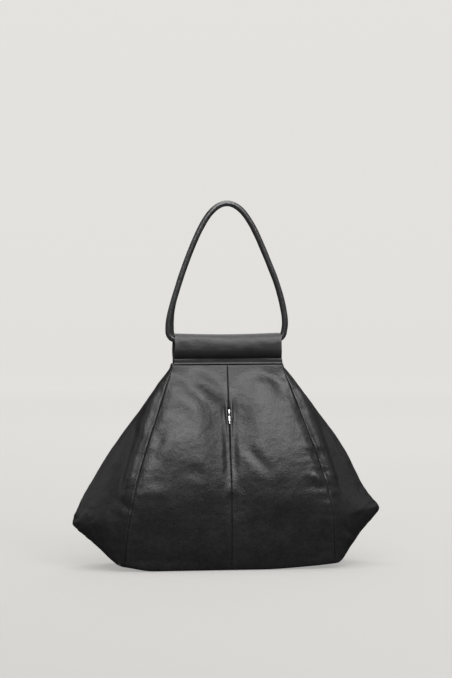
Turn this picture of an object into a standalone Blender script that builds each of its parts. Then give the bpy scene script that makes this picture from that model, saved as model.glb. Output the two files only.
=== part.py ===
"""A wide leather tote bag: a trapezoid body on a six-sided base, with two folded cuffs at the mouth.

A rolled leather handle turns inside each cuff, and a short pocket zip opens the front's centre seam.
Metres, +Z up. X runs across the bag, and Y from the front, at -Y, to the back.
"""

import math

import bmesh
import bpy
from mathutils import Matrix, Vector
from mathutils.geometry import interpolate_bezier

# What parts pieces that touch, and how far a cutter runs past what it cuts
CLEARANCE = 0.0003
OVERRUN = 0.001

# Leather body: its outline from the front, and its depth from the side
LEATHER = 0.0015
SEAM_GAP = 0.0004
BASE_LENGTH = 0.356
BASE_DEPTH = 0.124
TIP_SPAN = 0.501
TIP_HEIGHT = 0.086
SHOULDER_SPAN = 0.202
SHOULDER_DROP = 0.015
MOUTH_LENGTH = 0.182
MOUTH_DEPTH = 0.016
MOUTH_HEIGHT = 0.336
WALL_BENDS_BELOW_ZIP = 0.0137
SEAM_FOOT_INSET = 0.011
SEAM_FOOT_HEIGHT = 0.036
SEAM_KNEE_INSET = 0.0175
SEAM_KNEE_HEIGHT = 0.101
SEAM_MOUTH_SPAN = 0.179
FRONT_CROWN = 0.010
SIDE_CROWN = 0.007

# How steeply those outlines run: metres sideways for each metre up
WALL_SLOPE_SHARE = 0.292
BASE_FLARE_SHARE = 0.35
RIDGE_TIP_SLOPE_SHARE = -0.47
RIDGE_SHOULDER_SLOPE_SHARE = -0.78
RIDGE_MOUTH_SLOPE_SHARE = -0.25
SEAM_KNEE_SLOPE_SHARE = -0.22
SEAM_MOUTH_SLOPE_SHARE = -0.28

# Where the panels' surface points lie, as shares of the way across each panel and up each stretch
FRONT_SHARES = (0, 0.3, 0.58, 0.82, 1)
SIDE_SHARES = (0, 0.25, 0.5, 0.75, 1)
END_SHARES = (0, 0.25, 0.5, 0.75, 1)
FOOT_ROW_SHARES = (0, 0.16, 0.42, 0.7, 1)
ZIP_ROW_SHARES = (0, 0.33, 0.67, 1)
NECK_ROW_SHARES = (0.35, 0.7, 1)
MOUTH_ROW_SHARES = (0.35, 0.7, 1)

# Base board and lining
BOARD_END_MARGIN = 0.008
BOARD_SIDE_MARGIN = 0.006
BOARD_THICKNESS = 0.0025
BOARD_CORNER = 0.012
LINING_CLOTH = 0.0008
LINING_CLOSES_SHARE = 0.383
LINING_SIDE_SHARES = (0, 1)
LINING_END_SHARES = (0, 1)

# Cuffs, each folded over its handle
CUFF_LENGTH = 0.1774
CUFF_HEIGHT = 0.048
CUFF_SPACING = 0.006
BAND_HEIGHT = 0.013
CHANNEL_CLEARANCE = 0.0014
CUFF_FALL_PULL_SHARE = 0.45
STIFFENER_THICKNESS = 0.002
STIFFENER_HEIGHT = 0.015
STIFFENER_INSET = 0.003

# Magnetic snap between the cuffs
SNAP_RISE = 0.020
SNAP_RADIUS = 0.008
SNAP_BOSS_RADIUS = 0.0025
SNAP_BOSS_REACH = 0.0012
SNAP_BOSS_CLEARANCE = 0.0005
SNAP_EDGE = 0.0005
DISC_SIDES = 24

# Handles
HANDLE_RADIUS = 0.005
HANDLE_LEATHER = 0.0012
HANDLE_BEND_RADIUS = 0.011
HANDLE_SPREAD = 0.192
HANDLE_RISE = 0.2234
HANDLE_FOOT_RISE = 0.022
HANDLE_SHOULDER_SPREAD = 0.0948
HANDLE_SHOULDER_RISE = 0.1759
HANDLE_SHOULDER_TILT = math.radians(26)
HANDLE_APEX_PULL = 0.022
HANDLE_FOOT_PULL = 0.032
HANDLE_STRAND_PULL = 0.042
CORE_CLEARANCE = 0.0005
SPLICE_LENGTH = 0.036
SPLICE_LEATHER = 0.0006

# Pocket zip, in the zip's own frame: X across, Y into the bag from the leather's face, Z up the wall
SLIDER_DROP = 0.079
SLIDER_TRAVEL = 0.110
SLIDER_LENGTH = 0.009
SLIDER_WIDTH = 0.0066
SLIDER_PLATE = 0.0007
CROWN_WIDTH = 0.003
CROWN_THICKNESS = 0.0016
CROWN_STAND_OFF = 0.0006
NECK_WIDTH = 0.001
NECK_LENGTH = 0.0055
POST_WIDTH = 0.0016
POST_LENGTH = 0.0029
CROWN_SLOT_WIDTH = 0.0016
CROWN_SLOT_LENGTH = 0.0022
PULL_PIN_RADIUS = 0.00045
PULL_PIN_INSET = 0.0009
PULL_LENGTH = 0.0095
PULL_THICKNESS = 0.001
PULL_TONGUE_WIDTH = 0.001
PULL_EYE_RADIUS = 0.0011
PULL_EYE_HOLE_RADIUS = 0.0007
PULL_SHOULDER_DROP = 0.00135
PULL_NECK_WIDTH = 0.0008
PULL_NECK_LENGTH = 0.0008
PULL_BEAD_RADIUS = 0.0009
SLIT_WIDTH = 0.0018
SLIT_MARGIN = 0.0035
TOOTH_PITCH = 0.003
TOOTH_HEIGHT = 0.0012
TOOTH_REACH = 0.0009
TOOTH_THICKNESS = 0.0014
TOOTH_ROOT = 0.0017
CORD_WIDTH = 0.001
TAPE_WIDTH = 0.010
TAPE_CLOTH = 0.0006
STOP_WIDTH = 0.0022
STOP_LENGTH = 0.0025
STOP_THICKNESS = 0.002

# Pocket behind the zip, and how far its head reaches from the zip's end to the mouth
POCKET_WIDTH = 0.120
POCKET_HEAD_SHARE = 0.285
POCKET_FOOT_HEIGHT = 0.075
POCKET_CLOTH = 0.0005
POCKET_SLOT_WIDTH = 0.0096
POCKET_COLUMN_SHARES = (-1, -0.5, 0.5, 1)

# What follows from those sizes
WALL_TILT = math.atan(WALL_SLOPE_SHARE)
SEAM_FOOT_SPAN = BASE_LENGTH - 2 * SEAM_FOOT_INSET
SEAM_KNEE_SPAN = BASE_LENGTH - 2 * SEAM_KNEE_INSET
BOARD_LENGTH = BASE_LENGTH - 2 * BOARD_END_MARGIN
BOARD_DEPTH = BASE_DEPTH - 2 * BOARD_SIDE_MARGIN
SHOULDER_HEIGHT = MOUTH_HEIGHT - SHOULDER_DROP
SLIDER_HEIGHT = MOUTH_HEIGHT - SLIDER_DROP
BAND_HALF_SPACING = CUFF_SPACING / 2
BAND_OUTER = BAND_HALF_SPACING + 2 * LEATHER + STIFFENER_THICKNESS + 2 * CLEARANCE
CHANNEL_RADIUS = HANDLE_RADIUS + CHANNEL_CLEARANCE
CHANNEL_OUT = BAND_HALF_SPACING + LEATHER + CHANNEL_RADIUS
CHANNEL_HEIGHT = MOUTH_HEIGHT + CUFF_HEIGHT - LEATHER - CHANNEL_RADIUS
HANDLE_LEAN = math.atan((CHANNEL_OUT - HANDLE_RADIUS - CLEARANCE / 2) / HANDLE_RISE)
PLATE_DEPTH = LEATHER + CLEARANCE
TOOTH_DEPTH = PLATE_DEPTH + SLIDER_PLATE + CLEARANCE
TOOTH_MIDDLE = TOOTH_DEPTH + TOOTH_THICKNESS / 2
BACK_PLATE_DEPTH = TOOTH_DEPTH + TOOTH_THICKNESS + CLEARANCE
POCKET_FRONT_DEPTH = PLATE_DEPTH + TAPE_CLOTH + CLEARANCE
POCKET_BACK_DEPTH = BACK_PLATE_DEPTH + SLIDER_PLATE + CLEARANCE
LINING_DEPTH = POCKET_BACK_DEPTH + POCKET_CLOTH + 2 * CLEARANCE
TEETH_FOOT = -SLIDER_LENGTH / 2 - SLIDER_TRAVEL
TEETH_HEAD = SLIDER_LENGTH / 2
TAPE_FOOT = TEETH_FOOT - SLIT_MARGIN + CLEARANCE
TAPE_HEAD = TEETH_HEAD + SLIT_MARGIN - CLEARANCE
SLIT_FOOT_HEIGHT = SLIDER_HEIGHT + (TEETH_FOOT - SLIT_MARGIN) * math.cos(WALL_TILT)
SLIT_HEAD_HEIGHT = SLIDER_HEIGHT + (TEETH_HEAD + SLIT_MARGIN) * math.cos(WALL_TILT)
WALL_BEND_HEIGHT = SLIT_FOOT_HEIGHT - WALL_BENDS_BELOW_ZIP
POCKET_HEAD_HEIGHT = SLIT_HEAD_HEIGHT + (MOUTH_HEIGHT - SLIT_HEAD_HEIGHT) * POCKET_HEAD_SHARE
LINING_CLOSES_HEIGHT = SLIT_HEAD_HEIGHT + (MOUTH_HEIGHT - SLIT_HEAD_HEIGHT) * LINING_CLOSES_SHARE


def collection(name):
    made = bpy.data.collections.new(name)
    bpy.context.scene.collection.children.link(made)
    return made


for old in list(bpy.data.objects):
    bpy.data.objects.remove(old, do_unlink=True)
BAG = collection("leather_tote_bag")
CUTTERS = collection("cutters")


def material(name, color, roughness, metallic=0.0):
    made = bpy.data.materials.new(name)
    made.use_nodes = True
    shader = made.node_tree.nodes["Principled BSDF"]
    shader.inputs["Base Color"].default_value = (*color, 1)
    shader.inputs["Roughness"].default_value = roughness
    shader.inputs["Metallic"].default_value = metallic
    return made


BODY_LEATHER = material("body_leather", (0.028, 0.028, 0.029), 0.45)
CLOTH = material("cloth", (0.012, 0.012, 0.013), 0.9)
BOARD = material("board", (0.10, 0.095, 0.09), 0.8)
SILVER = material("silver", (0.78, 0.78, 0.77), 0.25, 1.0)
MAGNET = material("magnet", (0.35, 0.35, 0.36), 0.35, 1.0)
CORD = material("cord", (0.45, 0.43, 0.40), 0.9)
ZIP_RESIN = material("zip_resin", (0.015, 0.015, 0.016), 0.5)


def add(name, data, finish=None, home=BAG, parent=None):
    """An object in the bag, or a cutter that the build leaves out."""
    made = bpy.data.objects.new(name, data)
    home.objects.link(made)
    made.parent = parent
    if home is CUTTERS:
        made.hide_render = True
        made.display_type = "WIRE"
    if finish:
        data.materials.append(finish)
    return made


def empty(name, place, turn=0.0):
    """A joint's frame: at its axis, and turned about X."""
    made = add(name, None)
    made.location = place
    made.rotation_euler.x = turn
    return made


def mesh_from(name, shape):
    """A mesh from a bmesh, smooth over its curves and sharp at its edges."""
    made = bpy.data.meshes.new(name)
    shape.to_mesh(made)
    shape.free()
    made.shade_smooth()
    made.set_sharp_from_angle(angle=math.radians(35))
    return made


def modifier(target, kind, **settings):
    made = target.modifiers.new(kind.title(), kind)
    for key, value in settings.items():
        setattr(made, key, value)
    return made


def rounded(target, width, segments=2):
    return modifier(target, "BEVEL", width=width, segments=segments, limit_method="ANGLE")


def smooth_curve(knots, height):
    """The value at a height, on the smooth curve through (height, value, slope) knots."""
    for below, above in zip(knots, knots[1:]):
        if height <= above[0]:
            break
    span = above[0] - below[0]
    t = (height - below[0]) / span
    start = (1 + 2 * t) * (1 - t) ** 2 * below[1] + t * (1 - t) ** 2 * span * below[2]
    end = t * t * (3 - 2 * t) * above[1] + t * t * (t - 1) * span * above[2]
    return start + end


def mix(a, b, share):
    return a + (b - a) * share


# The body's surface


def wall_depth(height):
    """How far the front's centre seam stands in front of the bag's middle."""
    above = MOUTH_DEPTH / 2 + (MOUTH_HEIGHT - max(height, WALL_BEND_HEIGHT)) * WALL_SLOPE_SHARE
    if height >= WALL_BEND_HEIGHT:
        return above
    knots = (0, BASE_DEPTH / 2, BASE_FLARE_SHARE), (WALL_BEND_HEIGHT, above, -WALL_SLOPE_SHARE)
    return smooth_curve(knots, height)


def seam_half_span(height):
    """Half the distance between the slanting front seams."""
    knots = (
        (0, SEAM_FOOT_SPAN / 2, 0),
        (SEAM_FOOT_HEIGHT, SEAM_FOOT_SPAN / 2, 0),
        (SEAM_KNEE_HEIGHT, SEAM_KNEE_SPAN / 2, SEAM_KNEE_SLOPE_SHARE),
        (MOUTH_HEIGHT, SEAM_MOUTH_SPAN / 2, SEAM_MOUTH_SLOPE_SHARE),
    )
    return smooth_curve(knots, height)


def side_edge(height):
    """Where a side panel ends: on the base's end below the tip, and on the ridge seam above it."""
    if height <= TIP_HEIGHT:
        share = height / TIP_HEIGHT
        return mix(BASE_LENGTH, TIP_SPAN, share) / 2, -BASE_DEPTH / 2 * (1 - share)
    knots = (
        (TIP_HEIGHT, TIP_SPAN / 2, RIDGE_TIP_SLOPE_SHARE),
        (SHOULDER_HEIGHT, SHOULDER_SPAN / 2, RIDGE_SHOULDER_SLOPE_SHARE),
        (MOUTH_HEIGHT, MOUTH_LENGTH / 2, RIDGE_MOUTH_SLOPE_SHARE),
    )
    return smooth_curve(knots, height), 0.0


def swell(height):
    """How full the panels are at a height: flat at the base and at the mouth."""
    return math.sin(math.pi * height / MOUTH_HEIGHT)


def front_surface(across, height):
    """A point of the front, at a place across it."""
    share = across / seam_half_span(height)
    return Vector((across, FRONT_CROWN * swell(height) * share**3 - wall_depth(height), height))


def row_heights():
    """The heights of the surface's rows, from the base to the mouth."""
    foot = [TIP_HEIGHT * share for share in FOOT_ROW_SHARES]
    bend = [mix(TIP_HEIGHT, SLIT_FOOT_HEIGHT, 1 / 2)]
    zipped = [mix(SLIT_FOOT_HEIGHT, SLIT_HEAD_HEIGHT, share) for share in ZIP_ROW_SHARES]
    neck = [mix(SLIT_HEAD_HEIGHT, SHOULDER_HEIGHT, share) for share in NECK_ROW_SHARES]
    mouth = [mix(SHOULDER_HEIGHT, MOUTH_HEIGHT, share) for share in MOUTH_ROW_SHARES]
    return foot + bend + zipped + neck + mouth


class Skin:
    """The body's whole outer surface: its points, the faces of each panel, and at each point the
    vector that reaches a unit depth inside, so that neighbouring panels meet in one mitre."""

    def __init__(self, side_shares, end_shares):
        self.side_shares = side_shares
        self.end_shares = end_shares
        self.points = []
        self.index = {}
        self.panels = {}
        self.weave_rows()
        self.weave_base()
        self.inward = self.mitres()

    def at(self, point):
        key = tuple(round(value, 7) + 0.0 for value in point)
        if key not in self.index:
            self.index[key] = len(self.points)
            self.points.append(Vector(point))
        return self.index[key]

    def face(self, panel, corners):
        corners = list(dict.fromkeys(self.at(corner) for corner in corners))
        if len(corners) > 2:
            self.panels.setdefault(panel, []).append(corners)

    def quarter_section(self, height):
        """The front right quarter at a height, from the centre seam to the side's edge."""
        half_span = seam_half_span(height)
        front = [front_surface(half_span * share, height) for share in FRONT_SHARES]
        edge = Vector((*side_edge(height), height))
        way = edge - front[-1]
        outward = Vector((way.y, -way.x, 0)).normalized()
        side = [
            front[-1] + way * share + outward * SIDE_CROWN * swell(height) * math.sin(math.pi * share)
            for share in self.side_shares[1:-1]
        ]
        return [*front, *side, edge]

    def ring_section(self, height):
        """The whole section at a height, from the front's centre seam round by the right."""
        quarter = self.quarter_section(height)
        edge = quarter[-1]
        end = [Vector((edge.x, edge.y * (1 - 2 * share), height)) for share in self.end_shares[1:-1]]
        right = [*quarter, *end, *(Vector((p.x, -p.y, p.z)) for p in reversed(quarter))]
        return right + [Vector((-p.x, p.y, p.z)) for p in reversed(right[1:-1])]

    def ring_panels(self):
        """Which panel each stretch of a ring belongs to, in the ring's order."""
        front, side, end = len(FRONT_SHARES) - 1, len(self.side_shares) - 1, len(self.end_shares) - 1
        right = ["front_right_panel"] * front + ["front_right_side_panel"] * side + ["base_right_end"] * end
        right += ["back_right_side_panel"] * side + ["back_panel"] * front
        return right + [name.replace("right", "left") for name in reversed(right)]

    def weave_rows(self):
        rings = [self.ring_section(height) for height in row_heights()]
        for low, high in zip(rings, rings[1:]):
            for k, panel in enumerate(self.ring_panels()):
                j = (k + 1) % len(low)
                self.face(panel, (low[k], low[j], high[j], high[k]))

    def weave_base(self):
        quarter = [point.x for point in self.quarter_section(0)]
        across = [-x for x in reversed(quarter[1:])] + quarter
        along = [BASE_DEPTH * (share - 1 / 2) for share in self.end_shares]
        for x0, x1 in zip(across, across[1:]):
            for y0, y1 in zip(along, along[1:]):
                self.face("base_panel", ((x0, y0, 0), (x0, y1, 0), (x1, y1, 0), (x1, y0, 0)))

    def mitres(self):
        shape = bmesh.new()
        for point in self.points:
            shape.verts.new(point)
        shape.verts.ensure_lookup_table()
        for faces in self.panels.values():
            for corners in faces:
                shape.faces.new([shape.verts[i] for i in corners])
        shape.normal_update()
        inward = [vert.normal * -vert.calc_shell_factor() for vert in shape.verts]
        shape.free()
        return inward


def outline_edges(faces):
    """The directed edges round a patch of faces, each with its face."""
    sides = {}
    for corners in faces:
        for a, b in zip(corners, corners[1:] + corners[:1]):
            sides[a, b] = corners
    return {edge: face for edge, face in sides.items() if edge[::-1] not in sides}


def half_gap(point):
    """Half the gap that a panel keeps to its neighbour, wider along the zip's slit."""
    on_centre_seam = abs(point.x) < CLEARANCE and point.y < 0
    if on_centre_seam and SLIT_FOOT_HEIGHT - CLEARANCE < point.z < SLIT_HEAD_HEIGHT + CLEARANCE:
        return SLIT_WIDTH / 2
    return SEAM_GAP / 2


def pulled_back(skin, edges):
    """How far each point of a patch's outline moves into the patch, to leave its gap."""
    inward = {}
    for (a, b), corners in edges.items():
        p, q, r = (skin.points[i] for i in corners[:3])
        normal = (q - p).cross(r - p).normalized()
        across = normal.cross(skin.points[b] - skin.points[a]).normalized()
        inward.setdefault(a, []).append(across)
        inward.setdefault(b, []).append(across)
    moves = {}
    for i, ways in inward.items():
        way = sum(ways, Vector()).normalized()
        steep = max(way.dot(ways[0]), 1 / 3)
        moves[i] = way * (half_gap(skin.points[i]) / steep)
    return moves


def walled(name, skin, faces, outer_depth, inner_depth, finish):
    """A wall under a patch of the skin, between two depths. Each depth is a function of the height."""
    edges = outline_edges(faces)
    moves = pulled_back(skin, edges)
    shape = bmesh.new()
    layers = []
    for depth in (outer_depth, inner_depth):
        layer = {}
        for i in {i for corners in faces for i in corners}:
            point = skin.points[i]
            layer[i] = shape.verts.new(
                point + skin.inward[i] * depth(point.z) + moves.get(i, Vector())
            )
        layers.append(layer)
    outer, inner = layers
    for corners in faces:
        shape.faces.new([outer[i] for i in corners])
        shape.faces.new([inner[i] for i in reversed(corners)])
    for a, b in edges:
        shape.faces.new((outer[b], outer[a], inner[a], inner[b]))
    return add(name, mesh_from(name, shape), finish)


def lining_depth(height):
    """The lining hangs clear of the pocket, and closes up to the leather at the mouth."""
    knots = (LINING_CLOSES_HEIGHT, LINING_DEPTH, 0), (MOUTH_HEIGHT, LEATHER + CLEARANCE, 0)
    return smooth_curve(knots, max(height, LINING_CLOSES_HEIGHT))


def make_body():
    skin = Skin(SIDE_SHARES, END_SHARES)
    for name, faces in skin.panels.items():
        walled(name, skin, faces, lambda z: 0.0, lambda z: LEATHER, BODY_LEATHER)
    plain = Skin(LINING_SIDE_SHARES, LINING_END_SHARES)
    every = [corners for faces in plain.panels.values() for corners in faces]
    walled("lining", plain, every, lining_depth, lambda z: lining_depth(z) + LINING_CLOTH, CLOTH)


def make_base_board():
    shape = bmesh.new()
    bmesh.ops.create_cube(shape, size=1)
    bmesh.ops.scale(shape, vec=(BOARD_LENGTH, BOARD_DEPTH, BOARD_THICKNESS), verts=shape.verts)
    upright = [edge for edge in shape.edges if abs(edge.verts[0].co.z - edge.verts[1].co.z) > CLEARANCE]
    bmesh.ops.bevel(shape, geom=upright, offset=BOARD_CORNER, segments=4, profile=0.5, affect="EDGES")
    board = add("base_board", mesh_from("base_board", shape), BOARD)
    board.location.z = LEATHER + CLEARANCE + BOARD_THICKNESS / 2


# Cuffs and handles, made at the front and mirrored to the back


def cuff_profile():
    """The folded strip's outer line, as (out, up): up the mouth side, over the handle, down to the band."""
    outer_radius = CHANNEL_RADIUS + LEATHER
    points = [(BAND_HALF_SPACING, MOUTH_HEIGHT)]
    steps = 12
    for k in range(steps + 1):
        angle = math.pi * (1 - k / steps)
        up = CHANNEL_HEIGHT + outer_radius * math.sin(angle)
        points.append((CHANNEL_OUT + outer_radius * math.cos(angle), up))
    band_top = MOUTH_HEIGHT + BAND_HEIGHT
    pull = (CHANNEL_HEIGHT - band_top) * CUFF_FALL_PULL_SHARE
    bulge = Vector((CHANNEL_OUT + outer_radius, CHANNEL_HEIGHT))
    band = Vector((BAND_OUTER, band_top))
    fall = interpolate_bezier(bulge, bulge - Vector((0, pull)), band + Vector((0, pull)), band, 9)
    points += [tuple(point) for point in fall[1:]]
    return [*points, (BAND_OUTER, MOUTH_HEIGHT)]


def make_cuff(side, front):
    """One cuff: front is 1 at the front, where out is -Y, and -1 at the back."""
    hinge = empty(f"{side}_cuff_hinge", (0, -front * BAND_OUTER, MOUTH_HEIGHT))
    shape = bmesh.new()
    rows = []
    for x in (-CUFF_LENGTH / 2, CUFF_LENGTH / 2):
        rows.append(
            [shape.verts.new((x, front * (BAND_OUTER - out), up - MOUTH_HEIGHT)) for out, up in cuff_profile()]
        )
    for k in range(len(rows[0]) - 1):
        shape.faces.new((rows[0][k], rows[1][k], rows[1][k + 1], rows[0][k + 1])[:: -front])
    cuff = add(f"{side}_cuff", mesh_from(f"{side}_cuff", shape), BODY_LEATHER, parent=hinge)
    modifier(cuff, "SOLIDIFY", thickness=LEATHER, offset=-1, use_even_offset=True)

    shape = bmesh.new()
    bmesh.ops.create_cube(shape, size=1)
    size = CUFF_LENGTH - 2 * STIFFENER_INSET, STIFFENER_THICKNESS, STIFFENER_HEIGHT
    bmesh.ops.scale(shape, vec=size, verts=shape.verts)
    stiffener = add(f"{side}_cuff_stiffener", mesh_from(f"{side}_stiffener", shape), BOARD, parent=hinge)
    middle = BAND_OUTER - LEATHER - CLEARANCE - STIFFENER_THICKNESS / 2
    stiffener.location = (0, front * (BAND_OUTER - middle), CLEARANCE + STIFFENER_HEIGHT / 2)
    return hinge


def disc(name, radius, near, far, home, parent, finish=None):
    """A round piece along Y, from near to far."""
    shape = bmesh.new()
    bmesh.ops.create_cone(
        shape, cap_ends=True, segments=DISC_SIDES, radius1=radius, radius2=radius, depth=far - near
    )
    bmesh.ops.rotate(shape, matrix=Matrix.Rotation(math.radians(90), 3, "X"), verts=shape.verts)
    made = add(name, mesh_from(name, shape), finish, home, parent)
    made.location.y = (near + far) / 2
    return made


def make_snap(front_hinge, back_hinge):
    """A socket on the front cuff's mouth face, and a stud on the back one's whose boss enters it."""
    face = BAND_HALF_SPACING - CLEARANCE
    meet = CLEARANCE / 2
    socket = disc("front_snap_socket", SNAP_RADIUS, -face, -meet, BAG, front_hinge, MAGNET)
    recess_radius = SNAP_BOSS_RADIUS + SNAP_BOSS_CLEARANCE
    recess_floor = SNAP_BOSS_REACH + CLEARANCE + meet
    recess = disc("snap_recess", recess_radius, -recess_floor, OVERRUN, CUTTERS, front_hinge)
    stud = disc("back_snap_stud", SNAP_RADIUS, meet, face, BAG, back_hinge, MAGNET)
    boss = disc("snap_boss", SNAP_BOSS_RADIUS, -SNAP_BOSS_REACH, face / 2, CUTTERS, back_hinge)
    for piece, hinge in ((socket, front_hinge), (recess, front_hinge), (stud, back_hinge), (boss, back_hinge)):
        piece.location.y -= hinge.location.y
        piece.location.z = SNAP_RISE
    rounded(socket, SNAP_EDGE)
    rounded(stud, SNAP_EDGE)
    modifier(socket, "BOOLEAN", operation="DIFFERENCE", object=recess, solver="EXACT")
    modifier(stud, "BOOLEAN", operation="UNION", object=boss, solver="EXACT")


def handle_route():
    """One handle's centreline, as (across, up) from its channel's axis, from the left end to the right."""
    bend = HANDLE_BEND_RADIUS
    strand = HANDLE_SPREAD / 2
    end = CLEARANCE / 2
    right = [Vector((end, 0))]
    steps = 5
    for k in range(steps + 1):
        angle = math.pi / 2 * k / steps
        right.append(Vector((strand - bend + bend * math.sin(angle), bend - bend * math.cos(angle))))
    foot = Vector((strand, HANDLE_FOOT_RISE))
    shoulder = Vector((HANDLE_SHOULDER_SPREAD / 2, HANDLE_SHOULDER_RISE))
    apex = Vector((0, HANDLE_RISE))
    along = Vector((-math.sin(HANDLE_SHOULDER_TILT), math.cos(HANDLE_SHOULDER_TILT)))
    foot_pull = foot + Vector((0, HANDLE_FOOT_PULL))
    right += interpolate_bezier(foot, foot_pull, shoulder - along * HANDLE_STRAND_PULL, shoulder, 9)
    top = shoulder + along * HANDLE_APEX_PULL
    right += interpolate_bezier(shoulder, top, apex + Vector((HANDLE_APEX_PULL, 0)), apex, 8)[1:]
    return right + [Vector((-p[0], p[1])) for p in reversed(right[:-1])]


def tube(name, route, radius, caps, finish, parent):
    """A round tube along a route in the XZ plane, as a mesh with its caps joined on."""
    line = bpy.data.curves.new(name, "CURVE")
    line.dimensions = "3D"
    line.bevel_depth = radius
    line.bevel_resolution = 3
    line.use_fill_caps = caps
    spline = line.splines.new("POLY")
    spline.points.add(len(route) - 1)
    for point, (across, up) in zip(spline.points, route):
        point.co = (across, 0, up, 1)
    guide = add(f"{name}_line", line, home=CUTTERS)
    evaluated = guide.evaluated_get(bpy.context.evaluated_depsgraph_get())
    shape = bmesh.new()
    shape.from_mesh(bpy.data.meshes.new_from_object(evaluated))
    bpy.data.objects.remove(guide, do_unlink=True)
    bmesh.ops.remove_doubles(shape, verts=shape.verts, dist=CLEARANCE / 100)
    bmesh.ops.recalc_face_normals(shape, faces=shape.faces)
    return add(name, mesh_from(name, shape), finish, parent=parent)


def make_handle(side, front):
    """One handle: leather rolled round a cord, its two ends joined inside the cuff."""
    place = (0, -front * CHANNEL_OUT, CHANNEL_HEIGHT)
    swing = empty(f"{side}_handle_swing", place, -front * HANDLE_LEAN)
    route = handle_route()
    sleeve = tube(f"{side}_handle_sleeve", route, HANDLE_RADIUS, False, BODY_LEATHER, swing)
    modifier(sleeve, "SOLIDIFY", thickness=HANDLE_LEATHER, offset=-1, use_even_offset=True)
    core_radius = HANDLE_RADIUS - HANDLE_LEATHER - CORE_CLEARANCE
    tube(f"{side}_handle_core", route, core_radius, True, CORD, swing)

    shape = bmesh.new()
    bmesh.ops.create_cone(
        shape,
        segments=20,
        radius1=HANDLE_RADIUS + CLEARANCE + SPLICE_LEATHER,
        radius2=HANDLE_RADIUS + CLEARANCE + SPLICE_LEATHER,
        depth=SPLICE_LENGTH,
    )
    bmesh.ops.rotate(shape, matrix=Matrix.Rotation(math.radians(90), 3, "Y"), verts=shape.verts)
    wrap = mesh_from(f"{side}_handle_splice", shape)
    splice = add(f"{side}_handle_splice", wrap, BODY_LEATHER, parent=swing)
    modifier(splice, "SOLIDIFY", thickness=SPLICE_LEATHER, offset=-1, use_even_offset=True)


# Pocket zip, in the frame of the slider at rest


def block(name, low, high, finish=None, home=BAG, parent=None):
    shape = bmesh.new()
    bmesh.ops.create_cube(shape, size=1)
    size = Vector(high) - Vector(low)
    bmesh.ops.scale(shape, vec=size, verts=shape.verts)
    bmesh.ops.translate(shape, vec=(Vector(high) + Vector(low)) / 2, verts=shape.verts)
    return add(name, mesh_from(name, shape), finish, home, parent)


def rod(name, radius, half_length, place, home, parent):
    """A round bar along X."""
    shape = bmesh.new()
    bmesh.ops.create_cone(
        shape, cap_ends=True, segments=12, radius1=radius, radius2=radius, depth=2 * half_length
    )
    bmesh.ops.rotate(shape, matrix=Matrix.Rotation(math.radians(90), 3, "Y"), verts=shape.verts)
    bmesh.ops.translate(shape, vec=place, verts=shape.verts)
    return add(name, mesh_from(name, shape), home=home, parent=parent)


def stepped(name, sections, finish, parent):
    """A solid through a row of rectangles, each (half width, low, high, depth), from front to back."""
    shape = bmesh.new()
    rings = []
    for half, low, high, depth in sections:
        corners = (-half, low), (half, low), (half, high), (-half, high)
        rings.append([shape.verts.new((x, depth, z)) for x, z in corners])
    shape.faces.new(rings[0])
    for near, far in zip(rings, rings[1:]):
        for k in range(4):
            j = (k + 1) % 4
            shape.faces.new((near[k], far[k], far[j], near[j]))
    shape.faces.new(reversed(rings[-1]))
    return add(name, mesh_from(name, shape), finish, parent=parent)


def make_slider(frame):
    """Crown, neck, front plate, post and back plate. The crown's foot is a fork that holds the pull's pin."""
    half = SLIDER_LENGTH / 2
    crown = CROWN_WIDTH / 2, -half, half
    neck = NECK_WIDTH / 2, -NECK_LENGTH / 2, NECK_LENGTH / 2
    plate = SLIDER_WIDTH / 2, -half, half
    post = POST_WIDTH / 2, half - CLEARANCE - POST_LENGTH, half - CLEARANCE
    crown_back = -CROWN_STAND_OFF
    levels = (
        (crown, crown_back - CROWN_THICKNESS),
        (crown, crown_back),
        (neck, crown_back),
        (neck, PLATE_DEPTH),
        (plate, PLATE_DEPTH),
        (plate, PLATE_DEPTH + SLIDER_PLATE),
        (post, PLATE_DEPTH + SLIDER_PLATE),
        (post, BACK_PLATE_DEPTH),
        (plate, BACK_PLATE_DEPTH),
        (plate, BACK_PLATE_DEPTH + SLIDER_PLATE),
    )
    slider = stepped("zip_slider", [(*rectangle, depth) for rectangle, depth in levels], SILVER, frame)
    slot_half = CROWN_SLOT_WIDTH / 2
    front_face = crown_back - CROWN_THICKNESS
    slot = block(
        "crown_slot",
        (-slot_half, front_face - OVERRUN, -half - OVERRUN),
        (slot_half, crown_back + CROWN_STAND_OFF / 2, CROWN_SLOT_LENGTH - half),
        home=CUTTERS,
        parent=frame,
    )
    place = 0, crown_back - CROWN_THICKNESS / 2, PULL_PIN_INSET - half
    pin = rod("pull_pin", PULL_PIN_RADIUS, (CROWN_WIDTH + CROWN_SLOT_WIDTH) / 4, place, CUTTERS, frame)
    modifier(slider, "BOOLEAN", operation="DIFFERENCE", object=slot, solver="EXACT")
    modifier(slider, "BOOLEAN", operation="UNION", object=pin, solver="EXACT")
    return Vector(place)


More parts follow.
